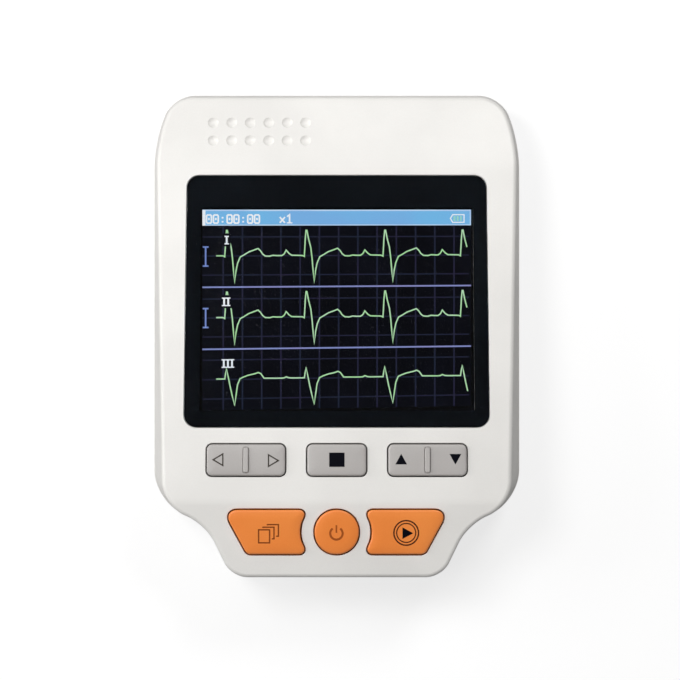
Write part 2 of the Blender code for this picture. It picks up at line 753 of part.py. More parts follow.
def orange_corners(side):
    """Corners of an orange key beside the power key, on the left for -1 or the right for 1."""
    top = -ORANGE_TOP
    bottom = top - ORANGE_HEIGHT
    right = [
        (ORANGE_INNER, bottom, ORANGE_INNER_RADIUS, CORNER_STEPS),
        (ORANGE_OUTER_BOTTOM, bottom, ORANGE_LOWER_RADIUS, CORNER_STEPS),
        (ORANGE_OUTER_TOP, top, ORANGE_OUTER_RADIUS, CORNER_STEPS),
        (ORANGE_INNER, top, ORANGE_INNER_RADIUS, CORNER_STEPS),
        (WAIST_POINT, (top + bottom) / 2, WAIST_RADIUS, WAIST_STEPS),
    ]
    if side > 0:
        return right
    return [(-x, y, radius, steps) for x, y, radius, steps in reversed(right)]


def power_corners():
    """The round power key, as four corners that are rounded all the way."""
    reach = POWER_RADIUS
    low = -POWER_CENTRE - reach
    return rectangle(-reach, reach, low, low + 2 * reach, reach, FULL_ROUND_STEPS // 4)


def orange_flange_depth():
    """Depth of the orange keys' flanges, which clear the grip's wall at their lower edge."""
    edge = ORANGE_TOP + ORANGE_HEIGHT + KEY_GAP + FLANGE_OVERLAP
    return grip_drop(-edge) + FACE_WALL / cos(FACE_TILT + GRIP_TILT) + GAP


KEY_CORNERS = {
    "left_right_key": grey_corners(-ROCKER_CENTRE, ROCKER_WIDTH),
    "stop_key": grey_corners(0, STOP_WIDTH),
    "up_down_key": grey_corners(ROCKER_CENTRE, ROCKER_WIDTH),
    "copy_key": orange_corners(-1),
    "power_key": power_corners(),
    "play_key": orange_corners(1),
}


def key_cap_height(point):
    """Height of a key's top, which follows the front's planes."""
    return KEY_PROUD - grip_drop(point.y)


def middle(corners):
    """The middle of an outline's box."""
    xs = [corner[0] for corner in corners]
    ys = [corner[1] for corner in corners]
    return (min(xs) + max(xs)) / 2, (min(ys) + max(ys)) / 2


def key_plungers(name):
    """Places of a key's plungers, with their depth."""
    u, v = middle(KEY_CORNERS[name])
    if name in ("left_right_key", "up_down_key"):
        offset = ROCKER_PLUNGER_OFFSET
        return [(u - offset, v, GREY_PLUNGER_DEPTH), (u + offset, v, GREY_PLUNGER_DEPTH)]
    if name == "stop_key":
        return [(u, v, GREY_PLUNGER_DEPTH)]
    return [(u, v, orange_flange_depth() + FLANGE_THICKNESS)]


def make_key(name, finish, flange_depth, origin_depth):
    """A key: a cap that stands proud of the front, and a flange that keeps it in the case."""
    corners = KEY_CORNERS[name]
    cap = outline(corners)
    flange = outline(inset(corners, -KEY_GAP - FLANGE_OVERLAP))
    bottom = flange_depth + FLANGE_THICKNESS
    bm = loft([
        ring(flange, -bottom),
        ring(flange, -flange_depth),
        ring(cap, -flange_depth),
        ring(cap, key_cap_height),
    ])
    tops = [edge for edge in edges_between_cap_and_wall(bm, 1)
            if min(vert.co.z for vert in edge.verts) > -flange_depth + OVERRUN]
    round_edges(bm, tops, KEY_EDGE_RADIUS, KEY_EDGE_STEPS)
    u, v = middle(corners)
    key = new_piece(name, bm, finish, FACE, (u, v, -origin_depth))
    plungers = bmesh.new()
    for x, y, depth in key_plungers(name):
        if depth > bottom:
            add_cylinder(plungers, x, y, -depth, -bottom + FLANGE_THICKNESS / 2, PLUNGER_RADIUS)
    if plungers.verts:
        boolean(key, new_cutter(name + "_plungers", plungers, FACE), "UNION")
    else:
        plungers.free()
    return key


def add_ridge(key, name):
    """A raised bar across the middle of a rocker key."""
    u, v = middle(KEY_CORNERS[name])
    half = RIDGE_WIDTH / 2
    rise = RIDGE_LENGTH / 2
    foot = rectangle(u - half, u + half, v - rise, v + rise, half, CORNER_STEPS // 2)
    base = outline(foot)
    crest = outline(inset(foot, RIDGE_HEIGHT))
    bm = loft([ring(base, 0), ring(base, KEY_PROUD), ring(crest, KEY_PROUD + RIDGE_HEIGHT)])
    boolean(key, new_cutter(name + "_ridge", bm, FACE), "UNION")


def make_keys():
    """The three grey keys and the three orange ones."""
    for name in ("left_right_key", "up_down_key"):
        key = make_key(name, "grey_key_plastic", ROCKER_FLANGE_DEPTH, FULCRUM_DEPTH)
        add_ridge(key, name)
    make_key("stop_key", "grey_key_plastic", STOP_FLANGE_DEPTH, STOP_FLANGE_DEPTH)
    for name in ("copy_key", "power_key", "play_key"):
        make_key(name, "orange_key_plastic", orange_flange_depth(), orange_flange_depth())


def make_front_cover():
    """The white front cover: a shell with a window, key openings, dimples and screw bosses."""
    bm = fronted_form([], SEAM_FRONT, RIM_STEP, 0, 0)
    round_edges(bm, edges_between_cap_and_wall(bm, 1), FACE_EDGE_RADIUS)
    cover = new_piece("front_cover", split_warped_faces(bm), "white_case_plastic")
    rebate = outline(inset(case_corners(), LIP_INSET - GAP))
    low_rings = [ring(rebate, SEAM_FRONT - OVERRUN), ring(rebate, REBATE_TOP)]
    hollow = fronted_form(low_rings, REBATE_TOP, SIDE_WALL, SIDE_WALL, FACE_WALL)
    boolean(cover, new_cutter("front_hollow", split_warped_faces(hollow)))
    posts = bmesh.new()
    for x, y in CASE_SCREWS:
        top = front_height(y) - FACE_WALL / 2
        add_cylinder(posts, x, y, REAR_BOSS_HEIGHT + GAP, top, CASE_BOSS_RADIUS)
    boolean(cover, new_cutter("case_posts", posts), "UNION")
    posts = bmesh.new()
    for u, v in BOARD_SCREWS:
        add_cylinder(posts, u, v, -BOARD_DEPTH + GAP, -FACE_WALL / 2, BOARD_BOSS_RADIUS)
    boolean(cover, new_cutter("board_posts", posts, FACE), "UNION")
    boolean(cover, window_cutter())
    boolean(cover, key_opening_cutter())
    boolean(cover, dimple_cutter())
    pilots = bmesh.new()
    for x, y in CASE_SCREWS:
        top = CASE_SHELF_HEIGHT + CASE_SCREW_LENGTH + GAP
        add_cylinder(pilots, x, y, REAR_BOSS_HEIGHT - OVERRUN, top, CASE_SCREW_RADIUS + GAP)
    boolean(cover, new_cutter("case_pilots", pilots))
    pilots = bmesh.new()
    for u, v in BOARD_SCREWS:
        top = -BOARD_REAR_DEPTH + BOARD_SCREW_LENGTH + GAP
        add_cylinder(pilots, u, v, -BOARD_DEPTH - OVERRUN, top, BOARD_SCREW_RADIUS + GAP)
    boolean(cover, new_cutter("board_pilots", pilots, FACE))
    boolean(cover, socket_opening_cutter("front_socket_openings"))


def window_cutter():
    """The window's through opening, with the rebate that the lens lies in."""
    lens = inset(lens_corners(), -LENS_GAP)
    through = outline(inset(lens, LEDGE_WIDTH + LENS_GAP))
    rebate = outline(lens)
    bm = loft([
        ring(through, -FACE_WALL - OVERRUN),
        ring(through, -REBATE_DEPTH),
        ring(rebate, -REBATE_DEPTH),
        ring(rebate, OVERRUN),
    ])
    return new_cutter("window_opening", bm, FACE)


def key_opening_cutter():
    """The openings that the key caps stand in, cut square to the face."""
    bm = bmesh.new()
    for corners in KEY_CORNERS.values():
        opening = outline(inset(corners, -KEY_GAP))
        deepest = FACE_WALL + grip_drop(-ORANGE_TOP - ORANGE_HEIGHT) + OVERRUN
        single = loft([ring(opening, -deepest), ring(opening, OVERRUN)])
        mesh = bpy.data.meshes.new("opening")
        single.to_mesh(mesh)
        single.free()
        bm.from_mesh(mesh)
        bpy.data.meshes.remove(mesh)
    return new_cutter("key_openings", bm, FACE)


def dimple_cutter():
    """Two rows of shallow round dimples in the top slope."""
    radius = (DIMPLE_RADIUS ** 2 + DIMPLE_DEPTH ** 2) / (2 * DIMPLE_DEPTH)
    normal = Vector((0, sin(SLOPE_TILT), cos(SLOPE_TILT)))
    turn = Matrix.Rotation(-SLOPE_TILT, 4, "X")
    bm = bmesh.new()
    for row in range(DIMPLE_ROWS):
        for column in range(DIMPLE_COLUMNS):
            x = DIMPLE_TO_SIDE - TOP_WIDTH / 2 + column * DIMPLE_PITCH
            y = BODY_END - DIMPLE_TO_END - row * DIMPLE_ROW_PITCH
            centre = Vector((x, y, front_height(y))) + normal * (radius - DIMPLE_DEPTH)
            bmesh.ops.create_uvsphere(
                bm,
                u_segments=DIMPLE_STEPS,
                v_segments=DIMPLE_RINGS,
                radius=radius,
                matrix=Matrix.Translation(centre) @ turn,
            )
    return new_cutter("dimples", bm)


def rear_form(lip):
    """The rear cover's outer form, with or without the lip that reaches into the front cover."""
    back = outline(inset(case_corners(), REAR_LEAN))
    rim = outline(case_corners())
    rings = [ring(back, 0), ring(rim, SEAM_REAR)]
    if lip:
        edge = outline(inset(case_corners(), LIP_INSET))
        rings += [ring(edge, SEAM_REAR), ring(edge, SEAM_REAR + LIP_HEIGHT)]
    bm = loft(rings)
    round_edges(bm, edges_between_cap_and_wall(bm, -1), REAR_EDGE_RADIUS)
    return split_warped_faces(bm)


def door_section(gap):
    """Half widths and heights of the door's stepped section, grown by a gap all round."""
    lower = DOOR_WIDTH / 2 + gap
    upper = lower + DOOR_RAIL
    step = DOOR_LIP + GAP - gap
    top = DOOR_THICKNESS + gap
    bottom = -OVERRUN
    places = [
        (-lower, bottom), (lower, bottom), (lower, step), (upper, step),
        (upper, top), (-upper, top), (-upper, step), (-lower, step),
    ]
    return [Vector(place) for place in places]


def slid_section(points, start, end):
    """A section in x and z, run along y from start to end."""
    bm = loft([ring(points, -end), ring(points, -start)])
    bmesh.ops.rotate(bm, verts=bm.verts, matrix=Matrix.Rotation(pi / 2, 3, "X"))
    return bm


def make_rear_cover():
    """The white rear cover: a shell with the battery bay, the door's recess and screw bosses."""
    cover = new_piece("rear_cover", rear_form(True), "white_case_plastic")
    rim = outline(inset(case_corners(), SIDE_WALL))
    floor = outline(inset(case_corners(), SIDE_WALL + REAR_LEAN))
    hollow = loft([
        ring(floor, REAR_WALL),
        ring(rim, SEAM_REAR),
        ring(rim, SEAM_REAR + LIP_HEIGHT + OVERRUN),
    ])
    boolean(cover, new_cutter("rear_hollow", split_warped_faces(hollow)))
    foot = REAR_WALL / 2
    edge = BAY_HALF_WIDTH + BAY_WALL
    block = box(
        (-edge, -BAY_BOTTOM - BAY_WALL, foot),
        (edge, -BAY_TOP + BAY_WALL, BAY_CEILING + BAY_WALL),
    )
    boolean(cover, new_cutter("bay_block", block), "UNION")
    edge = DOOR_WIDTH / 2 + DOOR_RAIL + GAP + BED_MARGIN
    end = BODY_END - SIDE_WALL
    bed = box((-edge, -end, foot), (edge, -DOOR_TOP + GAP + BED_MARGIN, BED_HEIGHT))
    boolean(cover, new_cutter("door_bed", bed), "UNION")
    bosses = bmesh.new()
    for x, y in CASE_SCREWS:
        add_cylinder(bosses, x, y, foot, REAR_BOSS_HEIGHT, CASE_BOSS_RADIUS)
    boolean(cover, new_cutter("rear_bosses", bosses), "UNION")
    bay = box((-BAY_HALF_WIDTH, -BAY_BOTTOM, -OVERRUN), (BAY_HALF_WIDTH, -BAY_TOP, BAY_CEILING))
    boolean(cover, new_cutter("bay_hollow", bay))
    recess = slid_section(door_section(GAP), -BODY_END - OVERRUN, -DOOR_TOP + GAP)
    boolean(cover, new_cutter("door_recess", recess))
    wells = bmesh.new()
    for x, y in CASE_SCREWS:
        add_cylinder(wells, x, y, -OVERRUN, CASE_SHELF_HEIGHT, CASE_HEAD_RADIUS + GAP)
    boolean(cover, new_cutter("screw_wells", wells))
    holes = bmesh.new()
    for x, y in CASE_SCREWS:
        top = REAR_BOSS_HEIGHT + OVERRUN
        add_cylinder(holes, x, y, CASE_SHELF_HEIGHT - OVERRUN, top, CASE_SCREW_RADIUS + GAP)
    boolean(cover, new_cutter("screw_holes", holes))
    slots = bmesh.new()
    for x, y in tab_places():
        reach = CONTACT_THICKNESS / 2 + GAP
        low = (x - TAB_WIDTH / 2 - GAP, y - reach, BAY_CEILING - OVERRUN)
        high = (x + TAB_WIDTH / 2 + GAP, y + reach, BAY_CEILING + BAY_WALL + OVERRUN)
        add_box(slots, low, high)
    boolean(cover, new_cutter("tab_slots", slots))
    boolean(cover, socket_opening_cutter("rear_socket_openings"))


def socket_opening_cutter(name):
    """The openings in the walls that the sockets stand in."""
    openings = bmesh.new()
    for low, high in socket_boxes():
        spare = Vector((GAP, GAP, GAP))
        reach = SOCKET_OPENING_REACH
        out = Vector((0, reach, 0)) if low.x < 0 else Vector((reach, 0, 0))
        add_box(openings, low - spare, high + spare + out)
    return new_cutter(name, openings, FACE)


def make_battery_door():
    """The battery door, which slides off over the end of the grip."""
    bm = slid_section(door_section(0), -BODY_END - OVERRUN, -DOOR_TOP)
    door = new_piece("battery_door", bm, "white_case_plastic")
    form = new_cutter("rear_outer_form", rear_form(False))
    boolean(door, form, "INTERSECT")
    ribs = bmesh.new()
    for i in range(RIB_COUNT):
        y = -RIB_START - i * RIB_PITCH
        low = (-RIB_LENGTH / 2, y - RIB_WIDTH, -OVERRUN)
        add_box(ribs, low, (RIB_LENGTH / 2, y, RIB_DEPTH))
    boolean(door, new_cutter("door_ribs", ribs))


def make_lens():
    """The lens, flush with the face, and the adhesive frame that holds it in its rebate."""
    edge = outline(lens_corners())
    bm = loft([ring(edge, -LENS_THICKNESS), ring(edge, 0)])
    new_piece("display_lens", bm, "lens_acrylic", FACE)
    inner = outline(inset(lens_corners(), LEDGE_WIDTH))
    bm = plate([edge, inner], -TAPE_DEPTH - TAPE_THICKNESS, -TAPE_DEPTH)
    new_piece("lens_tape", bm, "adhesive", FACE)


def display_corners(margin=0):
    """Corners of the display module, grown by a margin."""
    reach = DISPLAY_WIDTH / 2 + margin
    rise = DISPLAY_LENGTH / 2 + margin
    return rectangle(-reach, reach, DISPLAY_CENTRE - rise, DISPLAY_CENTRE + rise)


def make_display():
    """The display module: steel bezel, glass panel and backlight, under a foam gasket."""
    edge = outline(display_corners())
    inner = outline(display_corners(-GASKET_WIDTH))
    bm = plate([edge, inner], -GASKET_DEPTH - GASKET_THICKNESS, -GASKET_DEPTH)
    new_piece("dust_gasket", bm, "gasket_foam", FACE)
    top = -DISPLAY_DEPTH
    bottom = top - DISPLAY_THICKNESS
    bezel = new_piece("lcd_bezel", loft([ring(edge, bottom), ring(edge, top)]), "bezel_steel", FACE)
    inside = outline(display_corners(-BEZEL_WALL))
    bm = loft([ring(inside, bottom - OVERRUN), ring(inside, top - BEZEL_WALL)])
    boolean(bezel, new_cutter("bezel_hollow", bm, FACE))
    sight = outline(display_corners(-BEZEL_BORDER))
    bm = loft([ring(sight, bottom - OVERRUN), ring(sight, top + OVERRUN)])
    boolean(bezel, new_cutter("bezel_sight", bm, FACE))
    glass = outline(display_corners(-BEZEL_WALL - SEAT_GAP))
    panel_top = top - BEZEL_WALL - SEAT_GAP
    panel_bottom = panel_top - PANEL_THICKNESS
    bm = loft([ring(glass, panel_bottom), ring(glass, panel_top)])
    new_piece("lcd_panel", bm, "panel_glass", FACE)
    bm = loft([ring(glass, bottom), ring(glass, panel_bottom - SEAT_GAP)])
    new_piece("backlight", bm, "backlight_film", FACE)


def make_holder():
    """The tray that the display lies in, with a notch for the ribbon."""
    outer = outline(display_corners(GAP + HOLDER_WALL))
    top = -DISPLAY_DEPTH - HOLDER_TOP_DROP
    bm = loft([ring(outer, -HOLDER_DEPTH - HOLDER_BASE), ring(outer, top)])
    holder = new_piece("lcd_holder", bm, "black_plastic", FACE)
    inner = outline(display_corners(GAP))
    bm = loft([ring(inner, -HOLDER_DEPTH), ring(inner, top + OVERRUN)])
    boolean(holder, new_cutter("holder_hollow", bm, FACE))
    start, end, high, low = ribbon_run()
    reach = RIBBON_WIDTH / 2 + GAP
    notch = box(
        (-reach, start, -HOLDER_DEPTH),
        (reach, start + GAP + HOLDER_WALL + OVERRUN, top + OVERRUN),
    )
    boolean(holder, new_cutter("ribbon_notch", notch, FACE))


def ribbon_run():
    """Where the ribbon leaves the display and meets its connector: v and height of each end."""
    start = DISPLAY_CENTRE + DISPLAY_LENGTH / 2 + SEAT_GAP
    end = start + GAP + HOLDER_WALL + CONNECTOR_HEIGHT
    high = -DISPLAY_DEPTH - DISPLAY_THICKNESS / 2
    low = -BOARD_DEPTH + SEAT_GAP + CONNECTOR_HEIGHT / 2
    return start, end, high, low


def make_ribbon():
    """The flat lead from the display to its connector on the board."""
    start, end, high, low = ribbon_run()
    bend = (end - start) * RIBBON_RUN_SHARE
    line = [(start, high), (start + bend, high), (end - bend, low), (end, low)]
    thick = Vector((0, RIBBON_THICKNESS))
    lower = [Vector(place) for place in line]
    points = lower + [place + thick for place in reversed(lower)]
    bm = plate([points], -RIBBON_WIDTH / 2, RIBBON_WIDTH / 2)
    turn = Matrix(((0, 0, 1), (1, 0, 0), (0, 1, 0)))
    bmesh.ops.transform(bm, verts=bm.verts, matrix=turn.to_4x4())
    new_piece("lcd_ribbon", bm, "ribbon_film", FACE)
    width, length = CONNECTOR_SIZE
    front = end + SEAT_GAP
    base = -BOARD_DEPTH + SEAT_GAP
    bm = box((-width / 2, front, base), (width / 2, front + length, base + CONNECTOR_HEIGHT))
    new_piece("ribbon_connector", bm, "black_plastic", FACE)


def board_corners():
    """Corners of the board: wide behind the display, narrow at the top end and in the grip."""
    right = [
        (BOARD_TIP_WIDTH / 2, -BOARD_BOTTOM),
        (BOARD_NECK_WIDTH / 2, -BOARD_NECK),
        (BOARD_END_WIDTH / 2, -BOARD_NECK),
        (BOARD_END_WIDTH / 2, -BOARD_LOWER_STEP),
        (BOARD_WIDTH / 2, -BOARD_LOWER_STEP),
        (BOARD_WIDTH / 2, BOARD_UPPER_STEP),
        (BOARD_END_WIDTH / 2, BOARD_UPPER_STEP),
        (BOARD_END_WIDTH / 2, BOARD_TOP),
    ]
    places = right + [(-x, y) for x, y in reversed(right)]
    return [(x, y, BOARD_RADIUS, CORNER_STEPS // 2) for x, y in places]


def make_board():
    """The circuit board with its four screw holes."""
    edge = outline(board_corners())
    bm = loft([ring(edge, -BOARD_REAR_DEPTH), ring(edge, -BOARD_DEPTH)])
    board = new_piece("main_board", bm, "board_laminate", FACE)
    holes = bmesh.new()
    for u, v in BOARD_SCREWS:
        low = -BOARD_REAR_DEPTH - OVERRUN
        add_cylinder(holes, u, v, low, -BOARD_DEPTH + OVERRUN, BOARD_SCREW_RADIUS + GAP)
    boolean(board, new_cutter("board_holes", holes, FACE))


def make_keypad():
    """The silicone sheet on the board: a dome under each plunger, a bar under each rocker."""
    top = -GREY_TOP + KEYPAD_MARGIN
    step = -GREY_TOP - GREY_HEIGHT - KEYPAD_MARGIN
    bottom = -ORANGE_TOP - ORANGE_HEIGHT - KEYPAD_MARGIN / 2
    wide = ROCKER_CENTRE + ROCKER_WIDTH / 2
    right = [
        (KEYPAD_TIP_WIDTH / 2, bottom),
        (KEYPAD_NECK_WIDTH / 2, -ORANGE_TOP),
        (KEYPAD_NECK_WIDTH / 2, step),
        (wide, step),
        (wide, top),
    ]
    places = right + [(-x, y) for x, y in reversed(right)]
    edge = outline([(x, y, BOARD_RADIUS, CORNER_STEPS // 2) for x, y in places])
    bm = loft([ring(edge, -KEYPAD_DEPTH - KEYPAD_THICKNESS), ring(edge, -KEYPAD_DEPTH)])
    sheet = new_piece("keypad_sheet", bm, "keypad_silicone", FACE)
    root = -KEYPAD_DEPTH - KEYPAD_THICKNESS / 2
    domes = bmesh.new()
    for name in KEY_CORNERS:
        for u, v, depth in key_plungers(name):
            add_cylinder(domes, u, v, root, -depth - GAP, DOME_RADIUS, DOME_TIP_RADIUS)
    for side in (-1, 1):
        u = side * ROCKER_CENTRE
        v = -GREY_TOP - GREY_HEIGHT / 2
        low = (u - FULCRUM_WIDTH / 2, v - FULCRUM_LENGTH / 2, root)
        add_box(domes, low, (u + FULCRUM_WIDTH / 2, v + FULCRUM_LENGTH / 2, -FULCRUM_DEPTH))
    boolean(sheet, new_cutter("keypad_domes", domes, FACE), "UNION")


def socket_boxes():
    """Boxes of the two sockets in the face's frame: the lead socket, then the data socket."""
    top = -BOARD_REAR_DEPTH - SEAT_GAP
    bottom = top - SOCKET_HEIGHT
    half = SOCKET_WIDTH / 2
    _, height = case_place(BOARD_TOP, (top + bottom) / 2)
    wall = BODY_END - REAR_LEAN * (1 - height / SEAM_REAR)
    end, _ = face_place(wall, height)
    end -= SOCKET_RECESS
    lead = Vector((-half, end - SOCKET_LENGTH, bottom)), Vector((half, end, top))
    place = BOARD_TOP - USB_DROP
    _, height = case_place(place, (top + bottom) / 2)
    side = BODY_WIDTH / 2 - REAR_LEAN * (1 - height / SEAM_REAR) - SOCKET_RECESS
    low = Vector((side - SOCKET_LENGTH, place - half, bottom))
    return [lead, (low, Vector((side, place + half, top)))]


def make_socket(name, low, high, outwards):
    """A socket: a metal shell that is open at its mouth, with a tongue in it."""
    shell = new_piece(name, box(low, high), "plated_steel", FACE)
    wall = Vector((SOCKET_WALL, SOCKET_WALL, SOCKET_WALL))
    along = Vector(outwards)
    length = (high - low).dot(along)
    inner_low = low + wall + along * (length - SOCKET_DEPTH - SOCKET_WALL)
    inner_high = high - wall + along * (SOCKET_WALL + OVERRUN)
    hollow = new_cutter(name + "_hollow", box(inner_low, inner_high), FACE)
    centre = (low + high) / 2
    across = Vector((1, 1, 0)) - along
    reach = across * SOCKET_TONGUE_WIDTH / 2 + Vector((0, 0, SOCKET_TONGUE_HEIGHT / 2))
    half = along * (length / 2 - SOCKET_WALL)
    tongue = box(centre - reach - half, centre + reach + half - along * SOCKET_WALL)
    boolean(hollow, new_cutter(name + "_tongue", tongue, FACE))
    boolean(shell, hollow)


def make_components():
    """Sockets, chips, shield and buzzer on the board."""
    lead, data = socket_boxes()
    make_socket("lead_socket", *lead, (0, 1, 0))
    make_socket("usb_socket", *data, (1, 0, 0))
    under = -BOARD_REAR_DEPTH - SEAT_GAP
    for name, x, drop, (width, length) in (
        ("processor_chip", PROCESSOR_X, PROCESSOR_DROP, PROCESSOR_SIZE),
        ("memory_chip", MEMORY_X, MEMORY_DROP, MEMORY_SIZE),
    ):
        y = BOARD_TOP - drop
        corners = rectangle(
            x - width / 2, x + width / 2, y - length / 2, y + length / 2,
            CHIP_CHAMFER, CORNER_STEPS // 2,
        )
        small = outline(inset(corners, CHIP_CHAMFER))
        full = outline(corners)
        bottom = under - CHIP_HEIGHT
        rings = [ring(small, bottom), ring(full, bottom + CHIP_CHAMFER), ring(full, under)]
        new_piece(name, loft(rings), "chip_epoxy", FACE)
    x = SHIELD_X
    y = BOARD_TOP - SHIELD_DROP
    width, length = SHIELD_SIZE
    corners = rectangle(
        x - width / 2, x + width / 2, y - length / 2, y + length / 2, SHIELD_RADIUS
    )
    bottom = under - SHIELD_HEIGHT
    bm = loft([ring(outline(corners), bottom), ring(outline(corners), under)])
    can = new_piece("shield_can", bm, "plated_steel", FACE)
    inner = outline(inset(corners, SHIELD_WALL))
    bm = loft([ring(inner, bottom + SHIELD_WALL), ring(inner, under + OVERRUN)])
    boolean(can, new_cutter("shield_hollow", bm, FACE))
    bm = bmesh.new()
    add_cylinder(bm, x, y, bottom - OVERRUN, bottom + OVERRUN, SHIELD_HOLE_RADIUS)
    boolean(can, new_cutter("shield_hole", bm, FACE))
    base = -BOARD_DEPTH + SEAT_GAP
    x = BUZZER_X
    y = BOARD_TOP - BUZZER_DROP
    bm = bmesh.new()
    add_cylinder(bm, x, y, base, base + BUZZER_HEIGHT, BUZZER_RADIUS)
    buzzer = new_piece("buzzer", bm, "black_plastic", FACE)
    top = base + BUZZER_HEIGHT
    bm = bmesh.new()
    low = top - BUZZER_HOLE_DEPTH
    add_cylinder(bm, x, y, low, top + OVERRUN, BUZZER_HOLE_RADIUS)
    boolean(buzzer, new_cutter("buzzer_hole", bm, FACE))


def turned_mesh(name, profile, steps=CYLINDER_STEPS):
    """A mesh turned about Z from a profile that runs down its outer side."""
    mesh = bpy.data.meshes.new(name)
    links = [(i, i + 1) for i in range(len(profile) - 1)]
    mesh.from_pydata([(radius, 0, height) for radius, height in profile], links, [])
    shape = bpy.data.objects.new(name, mesh)
    CUTTERS.objects.link(shape)
    turn = shape.modifiers.new("turn", "SCREW")
    turn.axis = "Z"
    turn.steps = steps
    turn.render_steps = steps
    turn.use_merge_vertices = True
    turn.merge_threshold = MERGE_DISTANCE
    graph = bpy.context.evaluated_depsgraph_get()
    made = bpy.data.meshes.new_from_object(shape.evaluated_get(graph))
    bpy.data.objects.remove(shape)
    bpy.data.meshes.remove(mesh)
    return made


def mesh_copy(mesh):
    """A bmesh of a mesh."""
    bm = bmesh.new()
    bm.from_mesh(mesh)
    return bm


def cell_starts():
    """Each cell's x, the y of its nub end, and 1 where the nub looks to the top end, else -1."""
    near = -BAY_TOP - SEAT_GAP - CONTACT_THICKNESS - SEAT_GAP
    far = -BAY_BOTTOM + SEAT_GAP + CONTACT_THICKNESS + SEAT_GAP
    found = []
    for i in range(CELL_COUNT):
        x = (i - (CELL_COUNT - 1) / 2) * CELL_PITCH
        found.append((x, near, 1) if i % 2 == 0 else (x, far, -1))
    return found


def make_cells():
    """Three cells side by side, each turned against its neighbour, with their springs."""
    body = CELL_LENGTH - NUB_HEIGHT
    mesh = turned_mesh("cell", [
        (0, 0),
        (NUB_RADIUS, 0),
        (NUB_RADIUS, -NUB_HEIGHT),
        (CELL_RADIUS - CELL_CHAMFER, -NUB_HEIGHT),
        (CELL_RADIUS, -NUB_HEIGHT - CELL_CHAMFER),
        (CELL_RADIUS, -NUB_HEIGHT - body + CELL_CHAMFER),
        (CELL_RADIUS - CELL_CHAMFER, -CELL_LENGTH),
        (0, -CELL_LENGTH),
    ])
    for i, (x, y, up) in enumerate(cell_starts()):
        cell = new_piece(f"battery_cell_{i + 1}", mesh_copy(mesh), "cell_jacket")
        cell.location = (x, y, CELL_HEIGHT)
        cell.rotation_euler.x = -up * pi / 2
        make_spring(f"battery_spring_{i + 1}", x, y - up * (CELL_LENGTH + SEAT_GAP), -up)
    bpy.data.meshes.remove(mesh)


def make_spring(name, x, y, out):
    """A conical coil spring between a cell's flat end and the contact plate behind it."""
    length = SPRING_SPACE - SEAT_GAP - 2 * SPRING_WIRE_RADIUS
    steps = SPRING_TURNS * SPRING_TURN_STEPS
    points = []
    for i in range(steps + 1):
        share = i / steps
        radius = SPRING_TIP_RADIUS + (SPRING_BASE_RADIUS - SPRING_TIP_RADIUS) * share
        angle = 2 * pi * SPRING_TURNS * share
        along = y + out * (SPRING_WIRE_RADIUS + length * share)
        points.append(Vector((
            x + radius * cos(angle), along, CELL_HEIGHT + radius * sin(angle)
        )))
    far = SPRING_TURN_STEPS // 2
    least = min((points[i] - points[j]).length
                for i in range(steps + 1) for j in range(i + far, steps + 1))
    print(name, "least gap between turns, mm:", round((least - 2 * SPRING_WIRE_RADIUS) * 1000, 2))
    curve = bpy.data.curves.new(name, "CURVE")
    curve.dimensions = "3D"
    curve.bevel_depth = SPRING_WIRE_RADIUS
    curve.bevel_resolution = SPRING_WIRE_STEPS
    curve.use_fill_caps = True
    spline = curve.splines.new("POLY")
    spline.points.add(steps)
    for target, point in zip(spline.points, points):
        target.co = (*point, 1)
    spring = bpy.data.objects.new(name, curve)
    spring.data.materials.append(material("plated_steel"))
    PARTS.objects.link(spring)


def tab_places():
    """Middles of the two contact tabs that reach up to the board."""
    side = CELL_PITCH * (CELL_COUNT - 1) / 2
    inset_depth = SEAT_GAP + CONTACT_THICKNESS / 2
    return [(side, -BAY_TOP - inset_depth), (-side, -BAY_BOTTOM + inset_depth)]


def make_contacts():
    """Four contact plates: one bridges two cells at each end, and one has a tab to the board."""
    low = CELL_HEIGHT - CONTACT_HEIGHT / 2
    high = CELL_HEIGHT + CONTACT_HEIGHT / 2
    (tab_x, top_y), (far_x, bottom_y) = tab_places()
    for name, x, y, width, tab in (
        ("contact_top_bridge", -CELL_PITCH / 2, top_y, CONTACT_WIDTH + CELL_PITCH, False),
        ("contact_top_single", tab_x, top_y, CONTACT_WIDTH, True),
        ("contact_bottom_bridge", CELL_PITCH / 2, bottom_y, CONTACT_WIDTH + CELL_PITCH, False),
        ("contact_bottom_single", far_x, bottom_y, CONTACT_WIDTH, True),
    ):
        half = width / 2
        points = [(x - half, low), (x + half, low), (x + half, high), (x - half, high)]
        if tab:
            board = (BOARD_REAR_DEPTH + GAP) / cos(FACE_TILT)
            end = FACE_HEIGHT - y * tan(FACE_TILT) - board
            reach = TAB_WIDTH / 2
            points[3:3] = [(x + reach, high), (x + reach, end), (x - reach, end), (x - reach, high)]
        half = CONTACT_THICKNESS / 2
        bm = slid_section([Vector(point) for point in points], y - half, y + half)
        new_piece(name, bm, "plated_steel")


